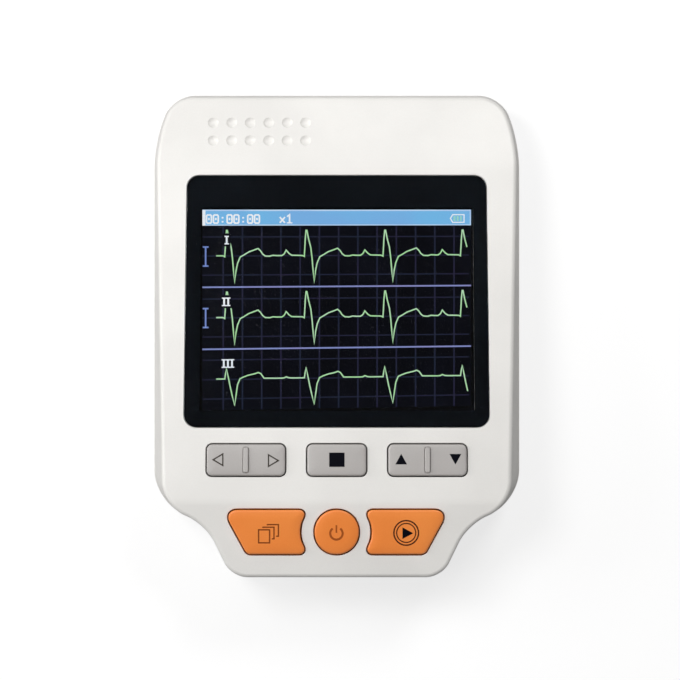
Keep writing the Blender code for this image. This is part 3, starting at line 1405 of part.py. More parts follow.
def screw_mesh(name, radius, length, head_radius, head_height):
    """A cross-recessed screw: its head hangs under the origin and its shank rises from it."""
    crown = head_height * SCREW_CROWN_SHARE
    mesh = turned_mesh(name, [
        (0, length),
        (radius - SCREW_CHAMFER, length),
        (radius, length - SCREW_CHAMFER),
        (radius, 0),
        (head_radius, 0),
        (head_radius, -head_height + crown),
        (head_radius - crown, -head_height),
        (0, -head_height),
    ])
    shape = bpy.data.objects.new(name, mesh)
    CUTTERS.objects.link(shape)
    arm = head_radius * DRIVE_REACH_SHARE
    half = DRIVE_WIDTH / 2
    quarter = [Vector((half, -half)), Vector((arm, -half)), Vector((arm, half))]
    cross_points = [Matrix.Rotation(pi / 2 * i, 2) @ point for i in range(4) for point in quarter]
    low = -head_height - OVERRUN
    recess = new_cutter(name + "_drive", plate([cross_points], low, -head_height + DRIVE_DEPTH))
    boolean(shape, recess)
    graph = bpy.context.evaluated_depsgraph_get()
    made = bpy.data.meshes.new_from_object(shape.evaluated_get(graph))
    made.materials.append(material("screw_steel"))
    made.shade_smooth()
    made.set_sharp_from_angle(angle=SMOOTH_ANGLE)
    bpy.data.objects.remove(shape)
    bpy.data.objects.remove(recess)
    return made


def make_screws():
    """Four screws through the rear cover, and four that hold the board."""
    mesh = screw_mesh(
        "case_screw", CASE_SCREW_RADIUS, CASE_SCREW_LENGTH, CASE_HEAD_RADIUS, CASE_HEAD_HEIGHT
    )
    for i, (x, y) in enumerate(CASE_SCREWS):
        screw = bpy.data.objects.new(f"case_screw_{i + 1}", mesh)
        screw.location = (x, y, CASE_SHELF_HEIGHT - SEAT_GAP)
        PARTS.objects.link(screw)
    mesh = screw_mesh(
        "board_screw", BOARD_SCREW_RADIUS, BOARD_SCREW_LENGTH, BOARD_HEAD_RADIUS, BOARD_HEAD_HEIGHT
    )
    for i, (u, v) in enumerate(BOARD_SCREWS):
        screw = bpy.data.objects.new(f"board_screw_{i + 1}", mesh)
        screw.parent = FACE
        screw.location = (u, v, -BOARD_REAR_DEPTH - SEAT_GAP)
        PARTS.objects.link(screw)


make_front_cover()
make_rear_cover()
make_battery_door()
make_lens()
make_display()
make_holder()
make_ribbon()
make_board()
make_keypad()
make_components()
make_keys()
make_cells()
make_contacts()
make_screws()
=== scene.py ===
"""Looks of a handheld monitor for heart signals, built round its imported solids.

Shapes are made in millimetres and placed in metres. The origin is in the middle of the flat rear,
+X runs to the reader's right, +Y to the top end and +Z out of the front. The face plane is tilted
and has a frame of its own: u runs right, v runs up the device and height stands square to the face.
"""

from math import atan2, cos, inf, pi, radians, sin, tan

import bmesh
import bpy
from mathutils import Matrix, Vector


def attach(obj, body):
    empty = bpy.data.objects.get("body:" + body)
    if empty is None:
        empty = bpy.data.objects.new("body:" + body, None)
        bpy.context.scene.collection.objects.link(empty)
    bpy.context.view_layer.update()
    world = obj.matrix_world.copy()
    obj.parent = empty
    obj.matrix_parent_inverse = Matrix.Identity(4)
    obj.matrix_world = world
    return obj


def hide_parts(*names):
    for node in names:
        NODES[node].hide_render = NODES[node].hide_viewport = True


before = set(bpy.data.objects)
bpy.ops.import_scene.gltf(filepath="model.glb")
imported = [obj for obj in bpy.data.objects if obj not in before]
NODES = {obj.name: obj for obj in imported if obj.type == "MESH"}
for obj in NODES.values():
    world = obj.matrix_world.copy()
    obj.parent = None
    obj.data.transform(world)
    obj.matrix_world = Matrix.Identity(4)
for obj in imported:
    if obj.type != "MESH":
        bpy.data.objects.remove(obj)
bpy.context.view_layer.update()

METRES = 0.001

# Camera: straight above the device, as measured from the photograph's perspective
IMAGE_SIZE = 680
CAMERA_PLACE = (0.85, -0.99, 470.0)
FOCAL_LENGTH = 91.242
SENSOR_WIDTH = 36.0
PIXELS_PER_SLOPE = FOCAL_LENGTH / SENSOR_WIDTH * IMAGE_SIZE

# The three planes of the front, and how wide the creases between them are blended
FACE_HEIGHT = 23.3002
FACE_TILT = radians(6)
SLOPE_TILT = radians(12)
GRIP_TILT = radians(5)
SLOPE_START = 45.5
GRIP_START = -42.8
SLOPE_BLEND = 2.4
GRIP_BLEND = 1.4
FACE = Matrix.Translation((0, 0, FACE_HEIGHT)) @ Matrix.Rotation(-FACE_TILT, 4, "X")

# Case: corners at the seam from the grip's right corner up, as x, y, radius and steps
CASE_HALF = (
    (28.05, -64.2, 8.35, 14),
    (34.85, -49.9, 11.9, 12),
    (48.65, -44.3, 12.8, 14),
    (48.65, 51.2, 36.0, 10),
    (43.9, 64.2, 8.6, 14),
)
# How far each wall leans in between the seam and the front, at its two ends
LEANS_HALF = ((1.7, 1.7), (2.0, 2.0), (4.0, 1.4), (1.3, 1.3))
TOP_LEAN = (1.2, 1.2)
BOTTOM_LEAN = (2.1, 2.1)
REAR_LEAN = 3.0
SEAM_REAR = 10.846
SEAM_FRONT = 11.146
RIM_STEP = 0.25
WALL = 2.5
REAR_WALL = 2.0
LIP_HEIGHT = 1.2
LIP_INSET = 1.5
FACE_EDGE_RADIUS = 1.0
FACE_EDGE_STEPS = 6
REAR_EDGE_RADIUS = 2.2
REAR_EDGE_STEPS = 7
REBATE_TOP = 12.346
GAP = 0.3
# The chamfers at the seam: their height, and how far in each cover's wall is, from the lower end up
SEAM_CHAMFER = 0.15
FRONT_SEAM_INSETS = (0.15, 0.02)
REAR_SEAM_INSETS = (0.04, 0.16)
# How far a cutter runs past a flat surface, and past one that slopes or bends
OVERRUN = 1.0
LONG_OVERRUN = 3.0
# Where inner walls root in the rear wall
ROOT_LEVEL = 1.0

# Window
LENS_TOP = 42.3
LENS_BOTTOM = -23.6
LENS_TOP_WIDTH = 78.3
LENS_BOTTOM_WIDTH = 78.8
LENS_RADIUS = 3.2
LENS_THICKNESS = 1.2
PRINT_LEVEL = -1.14
LENS_GAP = 0.15
REBATE_DEPTH = 1.5
LEDGE_WIDTH = 1.4
# Softened edges. Each step is how far in from the outline, and how far over the face
LENS_EDGE = ((0.0, -0.08), (0.03, -0.02), (0.08, 0.0))
WINDOW_EDGE = ((0.0, -0.15), (-0.04, -0.05), (-0.12, 0.0), (-0.12, LONG_OVERRUN))
OPENING_EDGE = ((0.0, -0.2), (-0.04, -0.08), (-0.12, -0.02), (-0.2, 0.0), (-0.2, LONG_OVERRUN))
OPENING_DEPTH = 6.0

# Keys, in the face's frame. The cap stands in from its outline and the opening stands out from it
KEY_PROUD = 0.68
KEY_GAP = 0.4
CAP_INSET = {"grey": 0.62, "orange": 0.3}
OPENING_GAP = {"grey": -0.3, "orange": 0.02}
KEY_EDGE_RADIUS = 0.55
KEY_EDGE_STEPS = 5
GREY_TOP = -27.4
GREY_BOTTOM = -36.7
GREY_MIDDLE = (GREY_TOP + GREY_BOTTOM) / 2
GREY_RADIUS = 2.0
STOP_WIDTH = 16.4
ROCKER_WIDTH = 21.4
ROCKER_CENTRE = 23.35
ORANGE_TOP = -44.5
ORANGE_BOTTOM = -56.45
ORANGE_MIDDLE = (ORANGE_TOP + ORANGE_BOTTOM) / 2
GRIP_CREASE = -43.04
FLANGE_OVERLAP = 0.8
FLANGE_THICKNESS = 0.8
PLUNGER_RADIUS = 1.5
PLUNGER_DEPTH = 5.6
PLUNGER_OFFSET = 8.5
# The bar on a rocker, and the groove round it: half width, half height and corner radius
RIDGE = (0.68, 3.25, 0.55)
RIDGE_ROOT = 0.3
RIDGE_GROOVE = (0.84, 3.41, 0.7)
RIDGE_GROOVE_FLOOR = 0.35
# Each step of the bar's rounded top: how far in, and how far over the key's edge
RIDGE_TOP = ((0.0, 0.3), (0.1, 0.46), (0.28, 0.55))
ORANGE_NAMES = ("copy_key", "power_key", "play_key")
ROCKERS = {"left_right_key": -1, "up_down_key": 1}
# Each step of a key's pillowed top: how far in, and how far up
PILLOW = {
    "grey": ((0.5, 0.045), (0.7, 0.035), (0.9, 0.02)),
    "orange": ((0.5, 0.09), (0.7, 0.065), (0.9, 0.035)),
}

# Clear window in the lens, and the display's glass behind it
WINDOW_U = 0.1
WINDOW_V = 7.3
WINDOW_HALF_WIDTH = 35.6
WINDOW_HALF_HEIGHT = 26.6
WINDOW_CORNER = 0.4
PRINT_GAP = 0.004
PANEL_LEVEL = -3.6

# Dimples in the top slope
DIMPLE_LEFT = -32.5
DIMPLE_PITCH = 4.86
DIMPLE_COLUMNS = 6
DIMPLE_ROWS = (56.2, 51.4)
DIMPLE_RADIUS = 1.45
DIMPLE_DEPTH = 0.62

# Battery bay, its cells and its sliding door
CELL_RADIUS = 5.25
CELL_LENGTH = 44.5
CELL_PITCH = 10.9
CELL_HEIGHT = 7.15
CELL_NEAR = -8.1
CELL_FAR = -56.4
BAY_HALF_WIDTH = 16.35
BAY_TOP = -7.5
BAY_BOTTOM = -57.0
BAY_MIDDLE = (BAY_TOP + BAY_BOTTOM) / 2
BAY_HALF_LENGTH = (BAY_TOP - BAY_BOTTOM) / 2
BAY_CEILING = 12.7
BAY_WALL = 1.2
BAY_CORNER = 0.6
DOOR_HALF_WIDTH = 19.8
DOOR_RAIL = 1.0
DOOR_LIP = 0.6
DOOR_THICKNESS = 1.6
DOOR_TOP = -5.0
DOOR_END = -66.0
# The wall over the door's recess
RECESS_WALL = 1.2
RECESS_MARGIN = 1.5
RECESS_END = -60.9
RECESS_TOP = 3.0
# Slots for the tongues of the contact plates
SLOT_HALF_WIDTH = 1.8
SLOT_HALF_LENGTH = 0.5
# The door's grip, each groove as half width, half height and corner, and the arrow under it
GROOVE = (9.0, 0.5, 0.45)
GROOVES = 5
GROOVE_START = -11.5
GROOVE_PITCH = 2.2
GROOVE_STEPS = ((0.0, 0.15), (0.12, 0.33), (0.3, 0.4))
DOOR_ARROW = ((0.0, -28.5, 0.4, 4), (3.2, -23.5, 0.4, 4), (-3.2, -23.5, 0.4, 4))
DOOR_ARROW_STEPS = ((0.0, 0.2), (0.1, 0.3))

# Profiles of a cell, as radius and height down from its raised end
CAN_PROFILE = (
    (0, 0), (1.5, 0), (1.8, -0.15), (1.9, -0.4), (1.95, -0.8), (3.6, -0.85), (4.5, -1.0),
    (4.9, -1.15), (4.95, -1.6), (4.95, -43.9), (4.7, -44.35), (3.8, -44.45), (3.4, -44.3), (0, -44.3),
)
SLEEVE_PROFILE = (
    (4.3, -0.86), (4.75, -0.9), (5.1, -1.05), (CELL_RADIUS, -1.4), (CELL_RADIUS, -43.9),
    (5.1, -44.3), (4.7, -44.46), (4.3, -44.48), (4.3, -43.6), (4.9, -43.4), (4.9, -1.7),
    (4.3, -1.5), (4.3, -0.86),
)
BAND_ROOT = CELL_RADIUS - 0.1
BAND_RADIUS = CELL_RADIUS + 0.015
BAND_PROFILE = (
    (BAND_ROOT, -3.0), (BAND_RADIUS, -3.02), (BAND_RADIUS, -8.0), (BAND_ROOT, -8.02), (BAND_ROOT, -3.0),
)
SPRING_WIRE = 0.25
SPRING_TIP = 2.0
SPRING_BASE = 3.2
SPRING_RUN = 3.4
SPRING_TURNS = 3
SPRING_STEPS = 32
SPRING_GAP = 0.1

# Screws and their bosses
CASE_SCREWS = ((40.0, 53.0), (-40.0, 53.0), (40.0, -37.5), (-40.0, -37.5))
BOSS_RADIUS = 3.0
BOSS_TOP = 8.0
PILOT_RADIUS = 1.4
PILOT_LOW = 3.0
PILOT_TOP = 9.0
WELL_RADIUS = 2.3
WELL_DEPTH = 4.0
WELL_FLARE = 0.3
SCREW_PROFILE = (
    (0, 9.6), (0.7, 9.6), (1.1, 9.2), (1.1, 0), (2.0, 0), (2.0, -0.75), (1.9, -0.98), (1.6, -1.16),
    (1.1, -1.27), (0, -1.3),
)
SCREW_SINK = 0.1
# The cross recess: an arm's two half sides and its taper, corners, and levels from outside to floor
CROSS_ARM = (1.15, 0.26)
CROSS_TAPER = 0.55
CROSS_CORNERS = (0.08, 0.05)
CROSS_LEVELS = (-2.0, -0.9, -0.55)
# How far the first screw is turned, and each next one more, in degrees
SCREW_TURN = 17
SCREW_TURN_STEP = 31

# Sockets: the middle of each mouth and the way it looks, in the face's frame
SOCKET_HALF_WIDTH = 3.85
SOCKET_HALF_HEIGHT = 1.9
SOCKET_LENGTH = 9.2
SOCKET_DEPTH = 6.0
SOCKET_CORNER = 1.0
MOUTH_CORNER = 1.1
# Each step of a socket's lip and inner wall: how far in, and how far over its mouth
SOCKET_EDGE = ((0.0, -0.15), (0.1, 0.0), (0.25, 0.0), (0.35, -0.12), (0.35, -SOCKET_DEPTH))
TONGUE_HALF_WIDTH = 2.0
TONGUE_HALF_THICKNESS = 0.5
TONGUE_CORNER = 0.15
TONGUE_ROOT = 0.2
TONGUE_EDGE = ((0.0, -0.75), (0.15, -0.6))
CONTACT_PLACES = (-1.4, -0.7, 0.0, 0.7, 1.4)
CONTACT_HALF_WIDTH = 0.16
CONTACT_HALF_THICKNESS = 0.03
CONTACT_END = -1.0
SOCKETS = {
    "lead_socket": ((0.0, 63.59, -11.5), (0, 1, 0)),
    "usb_socket": ((47.22, 35.0, -11.5), (1, 0, 0)),
}

# Marks on the keys, in the photograph's pixels. A bar is its left, top, right and bottom
INK_THICKNESS = 0.025
INK_SINK = 0.01
LEFT_ARROW = ((213.2, 459.7), (222.8, 453.9), (222.8, 465.5))
RIGHT_ARROW = ((278.3, 460.6), (268.5, 454.8), (268.5, 466.4))
ARROW_LINE = 1.45
STOP_SQUARE = (329.2, 452.6, 344.6, 466.9)
UP_ARROW = ((401.2, 453.8), (407.0, 464.4), (395.4, 464.4))
DOWN_ARROW = ((449.6, 454.0), (461.2, 454.0), (455.4, 464.6))
COPY_SHEET = ((258.6, 529.8), (269.6, 529.8), (269.6, 542.8), (258.6, 542.8))
COPY_SHEET_LINE = 1.35
COPY_EDGE = ((258.6, 530.6), (258.6, 529.8), (269.6, 529.8), (269.6, 541.4), (267.4, 541.4))
COPY_EDGE_LINE = 1.3
COPY_ACROSS = 4.4
COPY_UP = 2.6
POWER_MIDDLE = (336.4, 533.4)
POWER_RING = 6.2
POWER_OPEN = (-52, 232)
POWER_LINE = 2.1
POWER_STEM = (335.6, 525.2, 337.2, 532.8)
PLAY_MIDDLE = (406.2, 532.9)
# Each ring as its radius, steps and line
PLAY_RINGS = ((12.3, 64, 1.45), (9.5, 56, 1.2))
PLAY_ARROW = ((402.5, 527.4), (413.2, 533.2), (402.5, 539.0))

# The picture, in the photograph's pixels. Its lower edge rises to the right by the skew
PICTURE_LEFT = 202.5
PICTURE_TOP = 209.9
PICTURE_WIDTH = 268.4
PICTURE_HEIGHT = 200.6
PICTURE_SKEW = 4.7
PICTURE_RIGHT = PICTURE_LEFT + PICTURE_WIDTH
PICTURE_BOTTOM = PICTURE_TOP + PICTURE_HEIGHT
LAYER_STEP = 0.012
LAYER_THICKNESS = 0.01
GRID_LEFT = 223.3
GRID_PITCH = 19.22
GRID_COLUMNS = 13
GRID_TOP = 226.0
GRID_HALF_COLUMN = 0.75
GRID_ROWS = (237.2, 256.3, 275.4, 299.3, 318.2, 337.2, 360.4, 380.0, 399.3)
GRID_HALF_ROW = 0.6
GRID_MARGIN = 2.0
HEADER_BOTTOM = 225.9
HEADER_EDGES = (
    (PICTURE_LEFT, PICTURE_TOP, PICTURE_RIGHT, 211.3),
    (206.0, 224.9, PICTURE_RIGHT, HEADER_BOTTOM),
    (469.6, 211.3, 470.8, 224.9),
)
HEADER_BLOCK = (PICTURE_LEFT, 210.3, 205.6, HEADER_BOTTOM)
DIVIDERS = (287.5, 349.5)
DIVIDER_HALF = 0.75
# The timer: places of its zeros and colons, and their shapes from each place
TIMER_LEFT = 206.3
TIMER_PITCH = 6.85
TIMER_ZEROS = (0, 1, 3, 4, 6, 7)
TIMER_COLONS = (2, 5)
ZERO = (
    (1.3, 215.2), (4.3, 215.2), (5.2, 216.2), (5.2, 222.4), (4.3, 223.4), (1.3, 223.4), (0.4, 222.4),
    (0.4, 216.2),
)
ZERO_LINE = 1.6
ZERO_DOT = (2.0, 218.2, 3.6, 220.4)
COLON_DOTS = ((1.8, 217.2, 3.6, 218.8), (1.8, 221.2, 3.6, 222.8))
# The gain mark: strokes with their widths, and the foot of its figure
GAIN_STROKES = (
    (((279.8, 217.4), (285.0, 223.2)), 1.6),
    (((285.0, 217.4), (279.8, 223.2)), 1.6),
    (((287.2, 217.0), (289.6, 215.0), (289.6, 223.2)), 1.8),
)
GAIN_FOOT = (286.8, 222.6, 292.4, 223.8)
# Lead numerals, each as the first stem's middle, the top and the number of stems
NUMERALS = ((226.8, 236.6, 1), (224.2, 298.4, 2), (223.9, 360.2, 3))
STEM_PITCH = 4.1
STEM_HALF = 0.9
STEM_HEIGHT = 7.6
SERIF_REACH = 2.2
SERIFS = ((-0.5, 0.7), (6.9, 8.1))
# Dark grounds of the first two numerals, as left, top and width
LABEL_GROUNDS = ((222.6, 233.6, 8.0), (221.0, 295.4, 10.6))
LABEL_HEIGHT = 13.2
# Brackets that show the gain's height, as top and foot, and their bars from there
BRACKETS = ((247.3, 266.2), (308.9, 327.6))
BRACKET_LEFT = 202.9
BRACKET_RIGHT = 208.6
BRACKET_STEM = (205.0, 206.5)
BRACKET_BAR = (0.8, 0.7)
BATTERY = ((450.3, 218.9), (452.6, 215.0), (463.9, 215.0), (463.9, 222.9), (452.6, 222.9))
BATTERY_LINE = 1.1
BATTERY_BARS = (454.4, 457.6, 460.8)
BATTERY_BAR_HALF = 1.0
BATTERY_BAR_TOP = 216.4
BATTERY_BAR_BOTTOM = 221.6
# Traces: where they run, and a beat's points from its peak and base line
TRACE_LEFT = 216.3
TRACE_RIGHT = 467.6
TRACE_LINE = 1.25
PEAKS = (226.9, 306.4, 385.0, 462.4)
TALL_BEAT = (
    (-24.5, 0), (-22.2, -1.6), (-20.2, -5.4), (-17.2, -2.0), (-14.6, -0.3), (-3.8, 0), (-2.1, 1.0),
    (-1.6, -7), (-1.1, -17), (-0.3, -25.4), (0.5, -25.4), (2.1, -17), (4.4, -8), (5.7, 3),
    (6.6, 14), (7.8, 27.4), (9.2, 15), (10.8, 7.4), (13.4, 1.3), (17.5, -1.0), (22.0, -3.8),
    (27.0, -5.6), (31.2, -7.2), (33.6, -5.0), (35.8, -1.6), (38.5, 0.4), (43.0, 0.6),
    (46.0, -0.3), (50.0, 0),
)
LOW_BEAT = (
    (-24.5, 0), (-22.0, -0.2), (-20.2, -1.3), (-17.5, -0.2), (-14.6, 0), (-2.0, 0), (-1.3, -5),
    (-0.3, -10.4), (1.4, -2), (3.4, 8), (5.2, 16), (7.8, 26.8), (9.3, 16), (10.7, 6), (13.2, 0),
    (17.0, -1.8), (21.5, -3.4), (28.0, -4.8), (31.5, -6.0), (34.0, -4.8), (37.2, -0.2), (50.0, 0),
)
TRACES = ((256.1, TALL_BEAT), (317.9, TALL_BEAT), (379.4, LOW_BEAT))


def grey_corners(centre, width):
    """Corners of a grey key."""
    left = centre - width / 2
    right = centre + width / 2
    places = ((right, GREY_BOTTOM), (right, GREY_TOP), (left, GREY_TOP), (left, GREY_BOTTOM))
    return [(u, v, GREY_RADIUS, 8) for u, v in places]


def mirrored(corners):
    """An outline's corners, mirrored across the middle and still anticlockwise."""
    return [(-x, y, radius, steps) for x, y, radius, steps in reversed(corners)]


PLAY_CORNERS = [
    (7.1, ORANGE_BOTTOM, 1.7, 6),
    (23.25, ORANGE_BOTTOM, 2.0, 8),
    (29.75, ORANGE_TOP, 2.6, 10),
    (7.1, ORANGE_TOP, 1.7, 6),
    (9.85, ORANGE_MIDDLE, 10.9, 16),
]
# The play key stands a little nearer the middle than the copy key does
PLAY_SHIFT = 0.4
POWER_RADIUS = 5.98
POWER_CORNERS = [
    (POWER_RADIUS * across, ORANGE_MIDDLE + POWER_RADIUS * up, POWER_RADIUS, 16)
    for across, up in ((1, -1), (1, 1), (-1, 1), (-1, -1))
]
KEYS = {
    "left_right_key": (grey_corners(-ROCKER_CENTRE, ROCKER_WIDTH), 3.5),
    "stop_key": (grey_corners(0, STOP_WIDTH), 2.8),
    "up_down_key": (grey_corners(ROCKER_CENTRE, ROCKER_WIDTH), 3.5),
    "copy_key": (mirrored(PLAY_CORNERS), 5.7),
    "power_key": (POWER_CORNERS, 5.7),
    "play_key": ([(x - PLAY_SHIFT, y, radius, steps) for x, y, radius, steps in PLAY_CORNERS], 5.7),
}


# Outlines and solids

# How much of an edge the rounding of one corner may take, also at a wide outer corner
EDGE_SHARE = 0.49
WIDE_EDGE_SHARE = 0.6
WIDE_RADIUS = 7.0
SMALLEST_RADIUS = 0.1
# Points nearer than this are one, and two outlines at one level stand a hair apart
NEAR = 0.0005
HAIR = 0.002
# How level a top or bottom face is, and how steep a wall beside it, as a share of straight up
LEVEL_SHARE = 0.9
STEEP_SHARE = 0.7
ROUND_STEPS = 48
SHARP_ANGLE = radians(32)


def key_colour(name):
    """The colour of a key, by which its cap and its opening are sized."""
    return "orange" if name in ORANGE_NAMES else "grey"


def cross(a, b):
    """The z component of the cross product of two flat vectors."""
    return a.x * b.y - a.y * b.x


def moved_in(corners, depth):
    """An outline with its edges moved inwards, by one depth or by two for each edge."""
    count = len(corners)
    depths = depth if isinstance(depth, list) else [(depth, depth)] * count
    lines = []
    for i, (first, last) in enumerate(depths):
        start = Vector(corners[i][:2])
        end = Vector(corners[(i + 1) % count][:2])
        inwards = Vector((start.y - end.y, end.x - start.x)).normalized()
        lines.append((start + inwards * first, end + inwards * last))
    moved = []
    for i, (_, _, radius, steps) in enumerate(corners):
        start, along = lines[i - 1][0], lines[i - 1][1] - lines[i - 1][0]
        other, across = lines[i][0], lines[i][1] - lines[i][0]
        meeting = start + along * cross(other - start, across) / cross(along, across)
        change = (depths[i - 1][1] + depths[i][0]) / 2
        if cross(along, across) > 0:
            change = -change
        moved.append((meeting.x, meeting.y, max(radius + change, SMALLEST_RADIUS), steps))
    return moved


def rounded_face(bm, corners, level, cuts):
    """Add a face with rounded corners, cut across at some y, and return its faces and its rim."""
    before = set(bm.faces)
    verts = [bm.verts.new((x, y, 0)) for x, y, _, _ in corners]
    bm.faces.new(verts)
    count = len(corners)
    places = [Vector(corner[:2]) for corner in corners]
    for i, (_, _, radius, steps) in enumerate(corners):
        back = places[i] - places[i - 1]
        ahead = places[(i + 1) % count] - places[i]
        turn = abs(atan2(cross(back, ahead), back.dot(ahead)))
        wide = radius > WIDE_RADIUS and cross(back, ahead) > 0
        share = WIDE_EDGE_SHARE if wide else EDGE_SHARE
        reach = min(radius * tan(turn / 2), share * min(back.length, ahead.length))
        bmesh.ops.bevel(bm, geom=[verts[i]], offset=reach, offset_type="OFFSET", segments=steps,
                        profile=0.5, affect="VERTICES", clamp_overlap=False, material=-1)
    for y in cuts:
        faces = [face for face in bm.faces if face not in before]
        around = {edge for face in faces for edge in face.edges}
        points = {vert for face in faces for vert in face.verts}
        bmesh.ops.bisect_plane(bm, geom=list(points) + list(around) + faces, dist=NEAR,
                               plane_co=(0, y, 0), plane_no=(0, 1, 0))
    faces = [face for face in bm.faces if face not in before]
    for vert in {vert for face in faces for vert in face.verts}:
        vert.co.z = level(vert.co.y) if callable(level) else level
    edges = {edge for face in faces for edge in face.edges}
    return faces, edges


def stack(rings, cuts=()):
    """A closed solid through rounded outlines, each (corners, level), from the lowest up."""
    bm = bmesh.new()
    rims = []
    for i, (corners, level) in enumerate(rings):
        # Two outlines at one level would be bridged with a twist, so the second moves by a hair
        if i and level == rings[i - 1][1]:
            level += HAIR
        faces, edges = rounded_face(bm, corners, level, cuts)
        rim = [edge for edge in edges if len(edge.link_faces) == 1]
        if 0 < i < len(rings) - 1:
            inner = [edge for edge in edges if len(edge.link_faces) == 2]
            bmesh.ops.delete(bm, geom=faces, context="FACES_ONLY")
            bmesh.ops.delete(bm, geom=inner, context="EDGES")
        rims.append(rim)
    for lower, upper in zip(rims, rims[1:]):
        bmesh.ops.bridge_loops(bm, edges=lower + upper)
    bmesh.ops.recalc_face_normals(bm, faces=bm.faces)
    bm.normal_update()
    return bm


def stepped(corners, steps, ground=0.0):
    """Rings of an outline for `stack`, one for each step of how far in and how far over the ground."""
    return [(moved_in(corners, inset), ground + rise) for inset, rise in steps]


def prism(corners, low, high):
    """An upright solid of one rounded outline."""
    return stack([(corners, low), (corners, high)])


def round_edges(bm, edges, radius, steps):
    """Round some edges of a solid."""
    bmesh.ops.bevel(bm, geom=edges, offset=radius, offset_type="OFFSET", segments=steps,
                    profile=0.5, affect="EDGES", clamp_overlap=False, material=-1)


def rim_edges(bm, up, lowest=-inf):
    """The edges where a face that looks up, or down, meets a wall."""
    found = []
    for edge in bm.edges:
        shares = sorted(face.normal.z * up for face in edge.link_faces)
        if shares[0] < STEEP_SHARE and shares[-1] > LEVEL_SHARE:
            if min(vert.co.z for vert in edge.verts) > lowest:
                found.append(edge)
    return found


def box(low, high):
    """An upright box between two corners."""
    low = Vector(low)
    high = Vector(high)
    bm = bmesh.new()
    size = Matrix.Diagonal((*(high - low), 1))
    bmesh.ops.create_cube(bm, size=1, matrix=Matrix.Translation((low + high) / 2) @ size)
    return bm


def cone(x, y, low, high, low_radius, high_radius, steps=ROUND_STEPS):
    """An upright cone with its point cut off."""
    bm = bmesh.new()
    bmesh.ops.create_cone(bm, cap_ends=True, segments=steps, radius1=low_radius, radius2=high_radius,
                          depth=high - low, matrix=Matrix.Translation((x, y, (low + high) / 2)))
    return bm


def cylinder(x, y, low, high, radius, steps=ROUND_STEPS):
    """An upright cylinder."""
    return cone(x, y, low, high, radius, radius, steps)


def joined(shapes):
    """Several shapes as one bmesh."""
    bm = bmesh.new()
    for shape in shapes:
        mesh = bpy.data.meshes.new("shape")
        shape.to_mesh(mesh)
        shape.free()
        bm.from_mesh(mesh)
        bpy.data.meshes.remove(mesh)
    return bm


def combined(bm, other, operation="DIFFERENCE"):
    """Two solids cut, joined or intersected. Both are used up."""
    things = []
    for shape in (bm, other):
        mesh = bpy.data.meshes.new("solid")
        shape.to_mesh(mesh)
        shape.free()
        thing = bpy.data.objects.new("solid", mesh)
        bpy.context.scene.collection.objects.link(thing)
        things.append(thing)
    step = things[0].modifiers.new("combine", "BOOLEAN")
    step.operation = operation
    step.solver = "EXACT"
    step.object = things[1]
    graph = bpy.context.evaluated_depsgraph_get()
    mesh = bpy.data.meshes.new_from_object(things[0].evaluated_get(graph))
    result = bmesh.new()
    result.from_mesh(mesh)
    bpy.data.meshes.remove(mesh)
    for thing in things:
        data = thing.data
        bpy.data.objects.remove(thing)
        bpy.data.meshes.remove(data)
    return result


def piece(name, bm, finish, body, stands_for=(), place=None):
    """A finished piece in metres, with its material, its body and the nodes it stands for."""
    matrix = Matrix.Scale(METRES, 4) @ (place or Matrix.Identity(4))
    bmesh.ops.transform(bm, matrix=matrix, verts=bm.verts)
    bmesh.ops.dissolve_degenerate(bm, dist=1e-8, edges=bm.edges)
    mesh = bpy.data.meshes.new(name)
    bm.to_mesh(mesh)
    bm.free()
    mesh.materials.append(finish)
    mesh.shade_smooth()
    mesh.set_sharp_from_angle(angle=SHARP_ANGLE)
    thing = bpy.data.objects.new(name, mesh)
    bpy.context.scene.collection.objects.link(thing)
    step = thing.modifiers.new("even_normals", "WEIGHTED_NORMAL")
    step.keep_sharp = True
    step.weight = 50
    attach(thing, body)
    if stands_for:
        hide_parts(*stands_for)
    return thing


# Heights of the front

def blended(distance, reach):
    """How far past a crease a place lies, eased over the crease's blend."""
    if distance <= -reach:
        return 0.0
    if distance >= reach:
        return distance
    return (distance + reach) ** 2 / (4 * reach)


def front_level(y):
    """Height of the front at y."""
    level = FACE_HEIGHT - y * tan(FACE_TILT)
    level -= blended(y - SLOPE_START, SLOPE_BLEND) * (tan(SLOPE_TILT) - tan(FACE_TILT))
    level -= blended(GRIP_START - y, GRIP_BLEND) * (tan(FACE_TILT) + tan(GRIP_TILT))
    return level


def grip_drop(v):
    """How far the grip's plane lies under the face's plane at v, in the face's frame."""
    return max(0.0, GRIP_CREASE - v) * tan(FACE_TILT + GRIP_TILT)


def follow_grip(bm, lowest):
    """Lower what stands over a level, past the grip's crease, as the grip's plane falls away."""
    for vert in bm.verts:
        if vert.co.z > lowest:
            vert.co.z -= grip_drop(vert.co.y)


CASE_CORNERS = list(CASE_HALF) + mirrored(list(CASE_HALF))
LEANS = list(LEANS_HALF) + [TOP_LEAN]
LEANS += [(last, first) for first, last in reversed(LEANS_HALF)] + [BOTTOM_LEAN]
FRONT_CORNERS = moved_in(CASE_CORNERS, LEANS)
CREASE_CUTS = [start + blend * share
               for start, blend in ((SLOPE_START, SLOPE_BLEND), (GRIP_START, GRIP_BLEND))
               for share in (-1, -0.5, 0, 0.5, 1)]
LENS_CORNERS = [
    (LENS_BOTTOM_WIDTH / 2, LENS_BOTTOM, LENS_RADIUS, 10),
    (LENS_TOP_WIDTH / 2, LENS_TOP, LENS_RADIUS, 10),
    (-LENS_TOP_WIDTH / 2, LENS_TOP, LENS_RADIUS, 10),
    (-LENS_BOTTOM_WIDTH / 2, LENS_BOTTOM, LENS_RADIUS, 10),
]


# Materials

